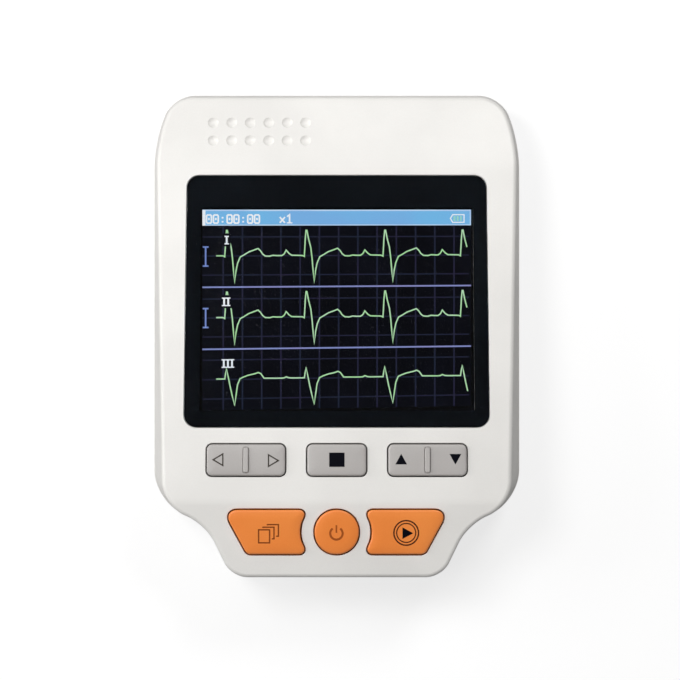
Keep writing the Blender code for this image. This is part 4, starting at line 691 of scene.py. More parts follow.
def colour(code):
    """An sRGB hex colour as linear red, green, blue and alpha."""
    shares = [int(code[i:i + 2], 16) / 255 for i in (1, 3, 5)]
    linear = [s / 12.92 if s <= 0.04045 else ((s + 0.055) / 1.055) ** 2.4 for s in shares]
    return (*linear, 1.0)


def add_node(tree, kind, settings=None, links=None):
    """Add a node. A setting goes to the socket of that name or number, or else to the node."""
    made = tree.nodes.new(kind)
    for key, value in (settings or {}).items():
        if isinstance(key, int) or key in made.inputs:
            made.inputs[key].default_value = value
        else:
            setattr(made, key, value)
    for key, source in (links or {}).items():
        tree.links.new(source, made.inputs[key])
    return made


def new_material(name, settings):
    """A material with its shader's settings, and the Object coordinates of its piece."""
    made = bpy.data.materials.new(name)
    made.use_nodes = True
    tree = made.node_tree
    shader = tree.nodes["Principled BSDF"]
    for key, value in settings.items():
        shader.inputs[key].default_value = value
    place = add_node(tree, "ShaderNodeTexCoord").outputs["Object"]
    return made, tree, shader, place


def moulded(name, pale, deep, rough, grain_mm, relief_mm, ior=1.53):
    """Moulded plastic: a spark-eroded grain breaks the gloss, and the shade drifts a little."""
    made, tree, shader, place = new_material(name, {"IOR": ior})
    drift = add_node(tree, "ShaderNodeTexNoise", {"Scale": 45.0, "Detail": 3.0}, {"Vector": place})
    grain = add_node(tree, "ShaderNodeTexNoise", {"Scale": 1000.0 / grain_mm, "Detail": 3.0},
                     {"Vector": place})
    both = add_node(tree, "ShaderNodeMath", {"operation": "MULTIPLY_ADD", 1: 0.35},
                    {0: grain.outputs["Fac"], 2: drift.outputs["Fac"]})
    share = add_node(tree, "ShaderNodeMapRange", {"From Min": 0.5, "From Max": 0.85},
                     {"Value": both.outputs[0]})
    shade = add_node(tree, "ShaderNodeMix", {"data_type": "RGBA", 6: colour(pale), 7: colour(deep)},
                     {0: share.outputs[0]})
    tree.links.new(shade.outputs[2], shader.inputs["Base Color"])
    gloss = add_node(tree, "ShaderNodeMapRange", {"To Min": rough - 0.06, "To Max": rough + 0.06},
                     {"Value": grain.outputs["Fac"]})
    tree.links.new(gloss.outputs[0], shader.inputs["Roughness"])
    if relief_mm:
        bump = add_node(tree, "ShaderNodeBump", {"Strength": 0.4, "Distance": relief_mm * METRES},
                        {"Height": grain.outputs["Fac"]})
        tree.links.new(bump.outputs[0], shader.inputs["Normal"])
    return made


def metal(name, pale, deep, rough, grain_mm, stretch):
    """Sheet or plated metal: fine drawing lines, or the mottle of plating where stretch is 1."""
    made, tree, shader, place = new_material(name, {"Metallic": 1.0})
    turned = add_node(tree, "ShaderNodeMapping", {"Scale": (1.0, stretch, stretch)},
                      {"Vector": place})
    grain = add_node(tree, "ShaderNodeTexNoise", {"Scale": 1000.0 / grain_mm, "Detail": 4.0},
                     {"Vector": turned.outputs[0]})
    shade = add_node(tree, "ShaderNodeMix", {"data_type": "RGBA", 6: colour(pale), 7: colour(deep)},
                     {0: grain.outputs["Fac"]})
    tree.links.new(shade.outputs[2], shader.inputs["Base Color"])
    gloss = add_node(tree, "ShaderNodeMapRange", {"To Min": rough - 0.08, "To Max": rough + 0.12},
                     {"Value": grain.outputs["Fac"]})
    tree.links.new(gloss.outputs[0], shader.inputs["Roughness"])
    bump = add_node(tree, "ShaderNodeBump", {"Strength": 0.2, "Distance": 0.01 * METRES},
                    {"Height": grain.outputs["Fac"]})
    tree.links.new(bump.outputs[0], shader.inputs["Normal"])
    return made


def lit(name, pale, deep, strength, patch_mm):
    """Part of the display's picture: backlit liquid crystal, a little uneven across the panel."""
    made, tree, shader, place = new_material(name, {"Roughness": 0.3, "Specular IOR Level": 0.03})
    shader.inputs["Base Color"].default_value = (0.0012, 0.0012, 0.0018, 1)
    drift = add_node(tree, "ShaderNodeTexNoise", {"Scale": 1000.0 / patch_mm, "Detail": 2.0},
                     {"Vector": place})
    share = add_node(tree, "ShaderNodeMapRange", {"From Min": 0.35, "From Max": 0.65},
                     {"Value": drift.outputs["Fac"]})
    shade = add_node(tree, "ShaderNodeMix", {"data_type": "RGBA", 6: colour(pale), 7: colour(deep)},
                     {0: share.outputs[0]})
    tree.links.new(shade.outputs[2], shader.inputs["Emission Color"])
    shader.inputs["Emission Strength"].default_value = strength
    return made


def clear_acrylic():
    """Cast acrylic of the window: clear and glossy, with the faint haze of handling."""
    settings = {"IOR": 1.49, "Transmission Weight": 1.0, "Base Color": (1, 1, 1, 1)}
    made, tree, shader, place = new_material("cast_acrylic_clear", settings)
    haze = add_node(tree, "ShaderNodeTexNoise", {"Scale": 30.0, "Detail": 3.0}, {"Vector": place})
    gloss = add_node(tree, "ShaderNodeMapRange", {"To Min": 0.0, "To Max": 0.03},
                     {"Value": haze.outputs["Fac"]})
    tree.links.new(gloss.outputs[0], shader.inputs["Roughness"])
    return made


def striped(name, pale, deep, rough, pitch_mm, bands, settings=None):
    """A film or laminate with copper runs under its surface, as straight stripes."""
    made, tree, shader, place = new_material(name, settings or {})
    wave = add_node(tree, "ShaderNodeTexWave",
                    {"bands_direction": bands, "Scale": pi / 10 * 1000 / pitch_mm, "Distortion": 0.0},
                    {"Vector": place})
    spots = add_node(tree, "ShaderNodeTexNoise", {"Scale": 400.0, "Detail": 2.0}, {"Vector": place})
    both = add_node(tree, "ShaderNodeMath", {"operation": "MULTIPLY_ADD", 1: 0.3},
                    {0: spots.outputs["Fac"], 2: wave.outputs["Fac"]})
    share = add_node(tree, "ShaderNodeMapRange", {"From Min": 0.55, "From Max": 0.8},
                     {"Value": both.outputs[0]})
    shade = add_node(tree, "ShaderNodeMix", {"data_type": "RGBA", 6: colour(pale), 7: colour(deep)},
                     {0: share.outputs[0]})
    tree.links.new(shade.outputs[2], shader.inputs["Base Color"])
    gloss = add_node(tree, "ShaderNodeMapRange", {"To Min": rough - 0.05, "To Max": rough + 0.05},
                     {"Value": spots.outputs["Fac"]})
    tree.links.new(gloss.outputs[0], shader.inputs["Roughness"])
    return made


# White ABS of the case: satin, warm white. The real grain of about 0.1 mm is drawn at 0.35 mm
WHITE_ABS = moulded("abs_white_spark_textured", "#F3F1ED", "#ECEAE6", 0.44, 0.35, 0.02)
# Key caps: the same process in finer grain, so they take a soft highlight
GREY_KEYS = moulded("abs_grey_satin_moulded", "#BFBBB8", "#B5B1AE", 0.42, 0.3, 0.012)
ORANGE_KEYS = moulded("abs_orange_satin_moulded", "#FE9646", "#F88A3A", 0.40, 0.3, 0.012)
KEY_FINISHES = {"grey": GREY_KEYS, "orange": ORANGE_KEYS}
# Black ink on the back of the lens, bonded to it and so almost without a gloss of its own
BLACK_PRINT = moulded("screen_printed_ink_blue_black", "#141A20", "#11161C", 0.5, 0.4, 0, 1.06)
CLEAR_LENS = clear_acrylic()
# Pad-printed inks: flat and a little uneven
INK_BLACK = moulded("pad_printed_ink_black", "#090A12", "#0C0D16", 0.6, 0.2, 0.004, 1.12)
INK_GREY = moulded("pad_printed_ink_grey", "#3A3530", "#443E38", 0.6, 0.2, 0.004, 1.25)
INK_BROWN = moulded("pad_printed_ink_brown", "#7A3A12", "#86441A", 0.6, 0.2, 0.004, 1.25)
INK_RUST = moulded("pad_printed_ink_rust", "#9C4A18", "#A8521E", 0.6, 0.2, 0.004, 1.25)
INK_UMBER = moulded("pad_printed_ink_umber", "#4E2412", "#582A17", 0.6, 0.2, 0.004, 1.25)
# The picture on the display
LIT_BLACK = lit("display_black_state", "#06070D", "#090B14", 0.9, 14.0)
LIT_GRID = lit("display_grid_lines", "#1D2436", "#232138", 1.0, 9.0)
LIT_HEADER = lit("display_header_blue", "#72B9E8", "#78B0E4", 1.0, 18.0)
LIT_EDGE = lit("display_header_edge", "#C4DDF4", "#B2CFF0", 1.0, 9.0)
LIT_LINE = lit("display_divider_violet", "#8587BE", "#7E8CC4", 1.0, 9.0)
LIT_TRACE = lit("display_trace_green", "#A6DCA0", "#B4DDB6", 1.0, 6.0)
LIT_TEXT = lit("display_text_white", "#F2F5F8", "#E4ECF4", 1.0, 6.0)
LIT_MARK = lit("display_mark_blue", "#6F86C8", "#7C92D0", 1.0, 6.0)
LIT_BARS = lit("display_battery_bars", "#9CD8C4", "#8CCBD8", 1.0, 3.0)
# Inside the case
BLACK_PLASTIC = moulded("abs_black_moulded", "#1C1C1D", "#232324", 0.5, 0.4, 0.02)
SILICONE = moulded("silicone_grey_moulded", "#B9B9B7", "#ADADAB", 0.62, 0.6, 0.02, 1.41)
EPOXY = moulded("epoxy_black_transfer_moulded", "#202122", "#2A2B2C", 0.6, 0.25, 0.02)
FOAM = moulded("polyurethane_foam_black", "#232323", "#121212", 0.9, 0.5, 0.15)
TAPE = moulded("acrylic_adhesive_tape_black", "#1B1B1B", "#242424", 0.7, 0.8, 0.01)
DIFFUSER = moulded("polyester_diffuser_film", "#F2F3F5", "#E6E8EC", 0.35, 0.5, 0.004)
PANEL_GLASS = moulded("display_glass_dark", "#0A0C12", "#0D1018", 0.12, 3.0, 0)
JACKET = moulded("polyester_cell_sleeve_blue", "#27476E", "#1F3D62", 0.28, 0.6, 0.003)
BAND = moulded("polyester_cell_sleeve_silver", "#C9CCD0", "#BEC2C7", 0.3, 0.6, 0.003)
STEEL = metal("stainless_steel_rolled", "#C6C6C4", "#AFAFAD", 0.3, 0.4, 12.0)
NICKEL = metal("steel_nickel_plated", "#CFCCC4", "#BEBBB2", 0.26, 0.5, 1.0)
ZINC = metal("steel_screw_blackened", "#5E5E60", "#4A4A4C", 0.36, 0.3, 1.0)
GOLD = metal("bronze_contact_gold_plated", "#E3C168", "#D2AC52", 0.25, 0.3, 1.0)
RIBBON = striped("polyimide_ribbon_amber", "#B5651B", "#8A4410", 0.35, 0.6, "X")
LAMINATE = striped("glass_epoxy_board_green", "#1C5B34", "#2C7A48", 0.35, 2.4, "DIAGONAL")


# Front cover

def front_form(low_rings, wall, depth):
    """A solid from flat rings up to the front's outline, under the three blended planes."""
    top = moved_in(FRONT_CORNERS, wall) if wall else FRONT_CORNERS
    return stack(low_rings + [(top, lambda y: front_level(y) - depth)], CREASE_CUTS)


def opening(corners, gap):
    """A cutter square to the face, whose upper rim flares to leave a softened edge."""
    outline = moved_in(corners, -gap)
    bm = stack([(outline, -OPENING_DEPTH)] + stepped(outline, OPENING_EDGE))
    follow_grip(bm, -OVERRUN)
    bmesh.ops.transform(bm, matrix=FACE, verts=bm.verts)
    return bm


def dimple(x, y):
    """A ball that cuts a shallow round dimple in the top slope."""
    radius = (DIMPLE_RADIUS ** 2 + DIMPLE_DEPTH ** 2) / (2 * DIMPLE_DEPTH)
    up = Vector((0, sin(SLOPE_TILT), cos(SLOPE_TILT)))
    bm = bmesh.new()
    bmesh.ops.create_uvsphere(
        bm, u_segments=32, v_segments=24, radius=radius,
        matrix=Matrix.Translation(Vector((x, y, front_level(y))) + up * (radius - DIMPLE_DEPTH)))
    return bm


def socket_place(mouth, out):
    """A frame at the middle of a socket's mouth: x across it, y through its height, z outwards."""
    across = Vector((1, 0, 0)) if out[1] else Vector((0, 1, 0))
    through = Vector(out).cross(across)
    turn = Matrix((across, through, Vector(out))).transposed().to_4x4()
    return FACE @ Matrix.Translation(mouth) @ turn


def rectangle(half_width, half_height, radius, steps=6, x=0.0, y=0.0):
    """Corners of an upright rectangle round a middle."""
    places = ((1, -1), (1, 1), (-1, 1), (-1, -1))
    return [(x + a * half_width, y + b * half_height, radius, steps) for a, b in places]


def socket_openings():
    """Cutters for the walls where the sockets stand, with softened corners."""
    hole = rectangle(SOCKET_HALF_WIDTH + GAP, SOCKET_HALF_HEIGHT + GAP, MOUTH_CORNER, 8)
    cutters = []
    for mouth, out in SOCKETS.values():
        bm = prism(hole, -SOCKET_LENGTH - GAP, LONG_OVERRUN)
        bmesh.ops.transform(bm, matrix=socket_place(mouth, out), verts=bm.verts)
        cutters.append(bm)
    return joined(cutters)


def make_front_cover():
    """The white front cover: a shell with its window, key openings, dimples and socket mouths."""
    chamfered = [(moved_in(CASE_CORNERS, RIM_STEP + inset), SEAM_FRONT + rise)
                 for inset, rise in zip(FRONT_SEAM_INSETS, (0, SEAM_CHAMFER))]
    bm = front_form(chamfered, 0, 0)
    round_edges(bm, rim_edges(bm, 1, SEAM_FRONT + OVERRUN), FACE_EDGE_RADIUS, FACE_EDGE_STEPS)
    lip = moved_in(CASE_CORNERS, LIP_INSET - GAP)
    inside = moved_in(CASE_CORNERS, WALL)
    rings = [(lip, SEAM_FRONT - OVERRUN), (lip, REBATE_TOP), (inside, REBATE_TOP)]
    bm = combined(bm, front_form(rings, WALL, WALL))
    outer = moved_in(LENS_CORNERS, -LENS_GAP)
    through = moved_in(LENS_CORNERS, LEDGE_WIDTH)
    rings = [(through, -OPENING_DEPTH), (through, -REBATE_DEPTH), (outer, -REBATE_DEPTH)]
    window = stack(rings + stepped(outer, WINDOW_EDGE))
    bmesh.ops.transform(window, matrix=FACE, verts=window.verts)
    bm = combined(bm, window)
    holes = [opening(corners, OPENING_GAP[key_colour(name)]) for name, (corners, _) in KEYS.items()]
    bm = combined(bm, joined(holes))
    dimples = [dimple(DIMPLE_LEFT + column * DIMPLE_PITCH, y)
               for y in DIMPLE_ROWS for column in range(DIMPLE_COLUMNS)]
    bm = combined(bm, joined(dimples))
    bm = combined(bm, socket_openings())
    return piece("front_shell", bm, WHITE_ABS, "case", ("front_cover",))


# Rear cover and battery door

def rear_form(lip):
    """The rear cover's outer form, with its rounded back edge, with or without the lip."""
    rings = [(moved_in(CASE_CORNERS, REAR_LEAN), 0)]
    rings += [(moved_in(CASE_CORNERS, inset), SEAM_REAR - drop)
              for inset, drop in zip(REAR_SEAM_INSETS, (SEAM_CHAMFER, 0))]
    if lip:
        edge = moved_in(CASE_CORNERS, LIP_INSET)
        rings += [(edge, SEAM_REAR), (edge, SEAM_REAR + LIP_HEIGHT)]
    bm = stack(rings)
    round_edges(bm, rim_edges(bm, -1), REAR_EDGE_RADIUS, REAR_EDGE_STEPS)
    return bm


def door_run(gap, start, end):
    """The door's stepped section, grown by a gap, run along y from start down to end."""
    lower = DOOR_HALF_WIDTH + gap
    upper = lower + DOOR_RAIL
    step = DOOR_LIP + GAP - gap
    top = DOOR_THICKNESS + gap
    places = ((-lower, -OVERRUN), (lower, -OVERRUN), (lower, step), (upper, step),
              (upper, top), (-upper, top), (-upper, step), (-lower, step))
    bm = bmesh.new()
    face = bm.faces.new([bm.verts.new((x, end, z)) for x, z in places])
    run = bmesh.ops.extrude_face_region(bm, geom=[face])
    moved = [item for item in run["geom"] if isinstance(item, bmesh.types.BMVert)]
    bmesh.ops.translate(bm, vec=(0, start - end, 0), verts=moved)
    bmesh.ops.recalc_face_normals(bm, faces=bm.faces)
    return bm


def make_rear_cover():
    """The white rear cover: a shell with its battery bay, door recess, bosses and screw wells."""
    bm = rear_form(True)
    inside = moved_in(CASE_CORNERS, WALL)
    hollow = stack([(moved_in(CASE_CORNERS, WALL + REAR_LEAN), REAR_WALL), (inside, SEAM_REAR),
                    (inside, SEAM_REAR + LIP_HEIGHT + OVERRUN)])
    bm = combined(bm, hollow)
    edge = BAY_HALF_WIDTH + BAY_WALL
    roof = BAY_CEILING + BAY_WALL
    block = box((-edge, BAY_BOTTOM - BAY_WALL, ROOT_LEVEL), (edge, BAY_TOP + BAY_WALL, roof))
    bm = combined(bm, block, "UNION")
    edge = DOOR_HALF_WIDTH + DOOR_RAIL + GAP + RECESS_WALL
    block = box((-edge, RECESS_END, ROOT_LEVEL), (edge, DOOR_TOP + RECESS_MARGIN, RECESS_TOP))
    bm = combined(bm, block, "UNION")
    bosses = [cylinder(x, y, ROOT_LEVEL, BOSS_TOP, BOSS_RADIUS) for x, y in CASE_SCREWS]
    bm = combined(bm, joined(bosses), "UNION")
    bay = rectangle(BAY_HALF_WIDTH, BAY_HALF_LENGTH, BAY_CORNER, 4, y=BAY_MIDDLE)
    bm = combined(bm, prism(bay, -OVERRUN, BAY_CEILING))
    bm = combined(bm, door_run(GAP, DOOR_TOP + GAP, DOOR_END))
    wells = []
    for x, y in CASE_SCREWS:
        well = cylinder(x, y, -OVERRUN, WELL_DEPTH, WELL_RADIUS)
        mouth = cone(x, y, -OVERRUN, WELL_FLARE, WELL_RADIUS + WELL_FLARE + OVERRUN, WELL_RADIUS)
        wells.append(combined(well, mouth, "UNION"))
    bm = combined(bm, joined(wells))
    pilots = [cylinder(x, y, PILOT_LOW, PILOT_TOP, PILOT_RADIUS, 24) for x, y in CASE_SCREWS]
    bm = combined(bm, joined(pilots))
    slots = [box((x - SLOT_HALF_WIDTH, y - SLOT_HALF_LENGTH, BAY_CEILING - OVERRUN),
                 (x + SLOT_HALF_WIDTH, y + SLOT_HALF_LENGTH, roof + OVERRUN))
             for x, y in ((CELL_PITCH, BAY_TOP - GAP), (-CELL_PITCH, BAY_BOTTOM + GAP))]
    bm = combined(bm, joined(slots))
    bm = combined(bm, socket_openings())
    return piece("rear_shell", bm, WHITE_ABS, "case", ("rear_cover",))


def make_door():
    """The sliding battery door, with a grip of rounded grooves and an arrow that points its way off."""
    bm = combined(door_run(0, DOOR_TOP, DOOR_END), rear_form(False), "INTERSECT")
    cuts = [stack([(DOOR_ARROW, -OVERRUN)] + stepped(DOOR_ARROW, DOOR_ARROW_STEPS))]
    for i in range(GROOVES):
        groove = rectangle(*GROOVE, y=GROOVE_START - i * GROOVE_PITCH)
        cuts.append(stack([(groove, -OVERRUN)] + stepped(groove, GROOVE_STEPS)))
    bm = combined(bm, joined(cuts))
    return piece("door_panel", bm, WHITE_ABS, "battery_door", ("battery_door",))


# Keys and lens

def make_key(name):
    """A key: its pillowed cap, which follows the front, on the flange that keeps it in the case."""
    corners, flange_depth = KEYS[name]
    shade = key_colour(name)
    flange = moved_in(corners, -KEY_GAP - FLANGE_OVERLAP)
    cap = moved_in(corners, CAP_INSET[shade])
    rings = [(flange, -flange_depth - FLANGE_THICKNESS), (flange, -flange_depth), (cap, -flange_depth)]
    for step in range(KEY_EDGE_STEPS + 1):
        turn = pi / 2 * step / KEY_EDGE_STEPS
        inset = KEY_EDGE_RADIUS * (1 - cos(turn))
        rings.append((moved_in(cap, inset), KEY_PROUD - KEY_EDGE_RADIUS * (1 - sin(turn))))
    inset = KEY_EDGE_RADIUS
    level = KEY_PROUD
    for width, rise in PILLOW[shade]:
        inset += width
        level += rise
        rings.append((moved_in(cap, inset), level))
    bm = stack(rings)
    follow_grip(bm, 0)
    middle = ROCKERS.get(name, 0) * ROCKER_CENTRE
    if name in ROCKERS:
        groove = rectangle(*RIDGE_GROOVE, x=middle, y=GREY_MIDDLE)
        bm = combined(bm, prism(groove, RIDGE_GROOVE_FLOOR, LONG_OVERRUN))
        ridge = rectangle(*RIDGE, x=middle, y=GREY_MIDDLE)
        rings = [(ridge, RIDGE_ROOT)] + stepped(ridge, RIDGE_TOP, KEY_PROUD)
        bm = combined(bm, stack(rings), "UNION")
    if shade == "grey":
        offsets = (-PLUNGER_OFFSET, PLUNGER_OFFSET) if name in ROCKERS else (0,)
        plungers = [cylinder(middle + offset, GREY_MIDDLE, -PLUNGER_DEPTH,
                             -flange_depth - FLANGE_THICKNESS / 2, PLUNGER_RADIUS, 24)
                    for offset in offsets]
        bm = combined(bm, joined(plungers), "UNION")
    return piece(name + "_cap", bm, KEY_FINISHES[shade], name, (name,), FACE)


def make_lens():
    """The lens: a clear sheet, flush with the face, over a black print with a window in it."""
    bm = stack([(LENS_CORNERS, PRINT_LEVEL)] + stepped(LENS_CORNERS, LENS_EDGE))
    piece("lens_sheet", bm, CLEAR_LENS, "case", ("display_lens",), FACE)
    sight = rectangle(WINDOW_HALF_WIDTH, WINDOW_HALF_HEIGHT, WINDOW_CORNER, 4, WINDOW_U, WINDOW_V)
    bm = combined(prism(LENS_CORNERS, -LENS_THICKNESS, PRINT_LEVEL - PRINT_GAP),
                  prism(sight, -LONG_OVERRUN, OVERRUN))
    piece("lens_print", bm, BLACK_PRINT, "case", (), FACE)


# Printed marks and the picture, drawn in the photograph's pixels and laid on the surface they mark

# The least cosine of half a corner's turn that a mitre follows, so that sharp corners stay short
MITRE_LEAST = 0.55


def ribbon(bm, points, width, closed=False):
    """Add a flat line along some points, with mitred corners."""
    points = [Vector(point) for point in points]
    count = len(points)
    ends = []
    for i, point in enumerate(points):
        before = points[i - 1] if i or closed else point
        after = points[(i + 1) % count] if i < count - 1 or closed else point
        back = (point - before).normalized() if before != point else (after - point).normalized()
        ahead = (after - point).normalized() if after != point else back
        along = (back + ahead).normalized() if (back + ahead).length > 0.01 else ahead
        side = Vector((-along.y, along.x))
        reach = width / 2 / max(MITRE_LEAST, abs(side.dot(Vector((-ahead.y, ahead.x)))))
        ends.append((point + side * reach, point - side * reach))
    if closed:
        ends.append(ends[0])
    edge = bm.edges.new([bm.verts.new((*place, 0)) for place in ends[0]])
    first = list(edge.verts)
    for left, right in ends[1:]:
        step = bmesh.ops.extrude_edge_only(bm, edges=[edge])
        made = [item for item in step["geom"] if isinstance(item, bmesh.types.BMVert)]
        edge = [item for item in step["geom"] if isinstance(item, bmesh.types.BMEdge)
                and set(item.verts) == set(made)][0]
        left_vert = next(v for v in made if any(e.other_vert(v) == first[0] for e in v.link_edges))
        right_vert = next(v for v in made if v != left_vert)
        left_vert.co = (*left, 0)
        right_vert.co = (*right, 0)
        first = [left_vert, right_vert]
    if closed:
        bmesh.ops.remove_doubles(bm, verts=bm.verts, dist=NEAR)


def patch(bm, points):
    """Add a flat filled shape."""
    bm.faces.new([bm.verts.new((x, y, 0)) for x, y in points])


def bar(bm, left, top, right, bottom):
    """Add a flat filled rectangle."""
    patch(bm, ((left, top), (right, top), (right, bottom), (left, bottom)))


def arc(x, y, radius, steps, start=0, end=360):
    """Points along an arc, in degrees clockwise from three o'clock."""
    angles = [radians(start + (end - start) * i / steps) for i in range(steps + (end - start < 360))]
    return [(x + radius * cos(angle), y + radius * sin(angle)) for angle in angles]


def seen_place(x, y, level):
    """Where the camera's ray through a pixel meets the surface at a level over the face's plane."""
    eye = Vector(CAMERA_PLACE)
    half = IMAGE_SIZE / 2
    ray = Vector(((x - half) / PIXELS_PER_SLOPE, (half - y) / PIXELS_PER_SLOPE, -1))
    to_face = FACE.inverted()
    start = to_face @ eye
    run = to_face.to_3x3() @ ray
    height = level(0.0)
    for _ in range(4):
        spot = start + run * (height - start.z) / run.z
        height = level(spot.y)
    return start + run * (height - start.z) / run.z


def laid(name, bm, level, thickness, finish, body, picture=False):
    """Lay flat marks on their surface, give them a thickness and finish the piece."""
    for vert in bm.verts:
        x, y = vert.co.x, vert.co.y
        if picture:
            y -= (y - PICTURE_TOP) / PICTURE_HEIGHT * (x - PICTURE_LEFT) / PICTURE_WIDTH * PICTURE_SKEW
        vert.co = seen_place(x, y, level)
    bmesh.ops.recalc_face_normals(bm, faces=bm.faces)
    if sum(face.normal.z for face in bm.faces) < 0:
        bmesh.ops.reverse_faces(bm, faces=bm.faces)
    bmesh.ops.triangulate(bm, faces=[face for face in bm.faces if len(face.verts) > 4])
    base = bm.faces[:]
    lift = bmesh.ops.extrude_face_region(bm, geom=base, use_keep_orig=True)
    moved = [item for item in lift["geom"] if isinstance(item, bmesh.types.BMVert)]
    bmesh.ops.translate(bm, vec=(0, 0, thickness), verts=moved)
    bmesh.ops.recalc_face_normals(bm, faces=bm.faces)
    return piece(name, bm, finish, body, (), FACE)


def printed(name, bm, ink, key):
    """Lay a mark just in the pillowed top of a key."""
    shade = key_colour(key)
    top = KEY_PROUD + sum(rise for _, rise in PILLOW[shade])
    laid(name, bm, lambda v: top - INK_SINK - grip_drop(v), INK_THICKNESS, ink, key)


def make_key_marks():
    """Generic control marks printed on the keys."""
    bm = bmesh.new()
    ribbon(bm, LEFT_ARROW, ARROW_LINE, True)
    ribbon(bm, RIGHT_ARROW, ARROW_LINE, True)
    printed("left_right_marks", bm, INK_GREY, "left_right_key")
    bm = bmesh.new()
    bar(bm, *STOP_SQUARE)
    printed("stop_mark", bm, INK_BLACK, "stop_key")
    bm = bmesh.new()
    patch(bm, UP_ARROW)
    patch(bm, DOWN_ARROW)
    printed("up_down_marks", bm, INK_BLACK, "up_down_key")
    bm = bmesh.new()
    ribbon(bm, COPY_SHEET, COPY_SHEET_LINE, True)
    for i in (1, 2):
        edge = [(x + COPY_ACROSS * i, y - COPY_UP * i) for x, y in COPY_EDGE]
        ribbon(bm, edge, COPY_EDGE_LINE)
    printed("copy_mark", bm, INK_BROWN, "copy_key")
    bm = bmesh.new()
    ribbon(bm, arc(*POWER_MIDDLE, POWER_RING, 36, *POWER_OPEN), POWER_LINE)
    bar(bm, *POWER_STEM)
    printed("power_mark", bm, INK_RUST, "power_key")
    bm = bmesh.new()
    for radius, steps, line in PLAY_RINGS:
        ribbon(bm, arc(*PLAY_MIDDLE, radius, steps), line, True)
    printed("play_rings", bm, INK_UMBER, "play_key")
    bm = bmesh.new()
    patch(bm, PLAY_ARROW)
    printed("play_mark", bm, INK_BLACK, "play_key")


# Each piece of the picture, with its finish and its layer over the panel's glass
PICTURE_PIECES = {
    "picture_ground": (LIT_BLACK, 0), "picture_grid": (LIT_GRID, 1),
    "picture_header": (LIT_HEADER, 1), "picture_header_edge": (LIT_EDGE, 2),
    "picture_divider": (LIT_LINE, 2), "picture_trace": (LIT_TRACE, 3),
    "picture_label_ground": (LIT_BLACK, 4), "picture_text": (LIT_TEXT, 5),
    "picture_mark": (LIT_MARK, 3), "picture_battery": (LIT_TEXT, 5),
    "picture_battery_bars": (LIT_BARS, 5),
}


def draw_text(bm):
    """The picture's white text: a timer at zero, a gain mark and the lead numerals."""
    bar(bm, *HEADER_BLOCK)
    for i in TIMER_ZEROS:
        x = TIMER_LEFT + TIMER_PITCH * i
        ribbon(bm, [(x + across, y) for across, y in ZERO], ZERO_LINE, True)
        left, top, right, bottom = ZERO_DOT
        bar(bm, x + left, top, x + right, bottom)
    for i in TIMER_COLONS:
        x = TIMER_LEFT + TIMER_PITCH * i
        for left, top, right, bottom in COLON_DOTS:
            bar(bm, x + left, top, x + right, bottom)
    for points, width in GAIN_STROKES:
        ribbon(bm, points, width)
    bar(bm, *GAIN_FOOT)
    for first, top, stems in NUMERALS:
        last = first + STEM_PITCH * (stems - 1)
        for i in range(stems):
            x = first + STEM_PITCH * i
            bar(bm, x - STEM_HALF, top, x + STEM_HALF, top + STEM_HEIGHT)
        for upper, lower in SERIFS:
            bar(bm, first - SERIF_REACH, top + upper, last + SERIF_REACH, top + lower)


def draw_traces(bm):
    """The picture's three traces, each a row of beats on its base line."""
    for base, shape in TRACES:
        line = [(TRACE_LEFT, base)]
        for peak in PEAKS:
            for x, y in shape:
                if line[-1][0] < peak + x < TRACE_RIGHT:
                    line.append((peak + x, base + y))
        ribbon(bm, line, TRACE_LINE)


def make_picture():
    """The picture: a header, a grid, two dividers, three traces and their marks."""
    layers = {name: bmesh.new() for name in PICTURE_PIECES}
    bar(layers["picture_ground"], PICTURE_LEFT, PICTURE_TOP, PICTURE_RIGHT, PICTURE_BOTTOM)
    for i in range(GRID_COLUMNS):
        x = GRID_LEFT + GRID_PITCH * i
        bar(layers["picture_grid"], x - GRID_HALF_COLUMN, GRID_TOP, x + GRID_HALF_COLUMN, PICTURE_BOTTOM)
    for y in GRID_ROWS:
        right = PICTURE_RIGHT - GRID_MARGIN
        bar(layers["picture_grid"], PICTURE_LEFT, y - GRID_HALF_ROW, right, y + GRID_HALF_ROW)
    bar(layers["picture_header"], PICTURE_LEFT, PICTURE_TOP, PICTURE_RIGHT, HEADER_BOTTOM)
    for edge in HEADER_EDGES:
        bar(layers["picture_header_edge"], *edge)
    for y in DIVIDERS:
        bar(layers["picture_divider"], PICTURE_LEFT, y - DIVIDER_HALF, PICTURE_RIGHT, y + DIVIDER_HALF)
    draw_traces(layers["picture_trace"])
    for left, top, width in LABEL_GROUNDS:
        bar(layers["picture_label_ground"], left, top, left + width, top + LABEL_HEIGHT)
    draw_text(layers["picture_text"])
    outwards, inwards = BRACKET_BAR
    for top, foot in BRACKETS:
        bar(layers["picture_mark"], BRACKET_LEFT, top - outwards, BRACKET_RIGHT, top + inwards)
        bar(layers["picture_mark"], BRACKET_LEFT, foot - inwards, BRACKET_RIGHT, foot + outwards)
        bar(layers["picture_mark"], BRACKET_STEM[0], top, BRACKET_STEM[1], foot)
    ribbon(layers["picture_battery"], BATTERY, BATTERY_LINE, True)
    for x in BATTERY_BARS:
        bar(layers["picture_battery_bars"], x - BATTERY_BAR_HALF, BATTERY_BAR_TOP,
            x + BATTERY_BAR_HALF, BATTERY_BAR_BOTTOM)
    for name, (finish, layer) in PICTURE_PIECES.items():
        level = PANEL_LEVEL + LAYER_STEP * layer
        laid(name, layers[name], lambda v: level, LAYER_THICKNESS, finish, "case", True)


# Battery bay, sockets and screws

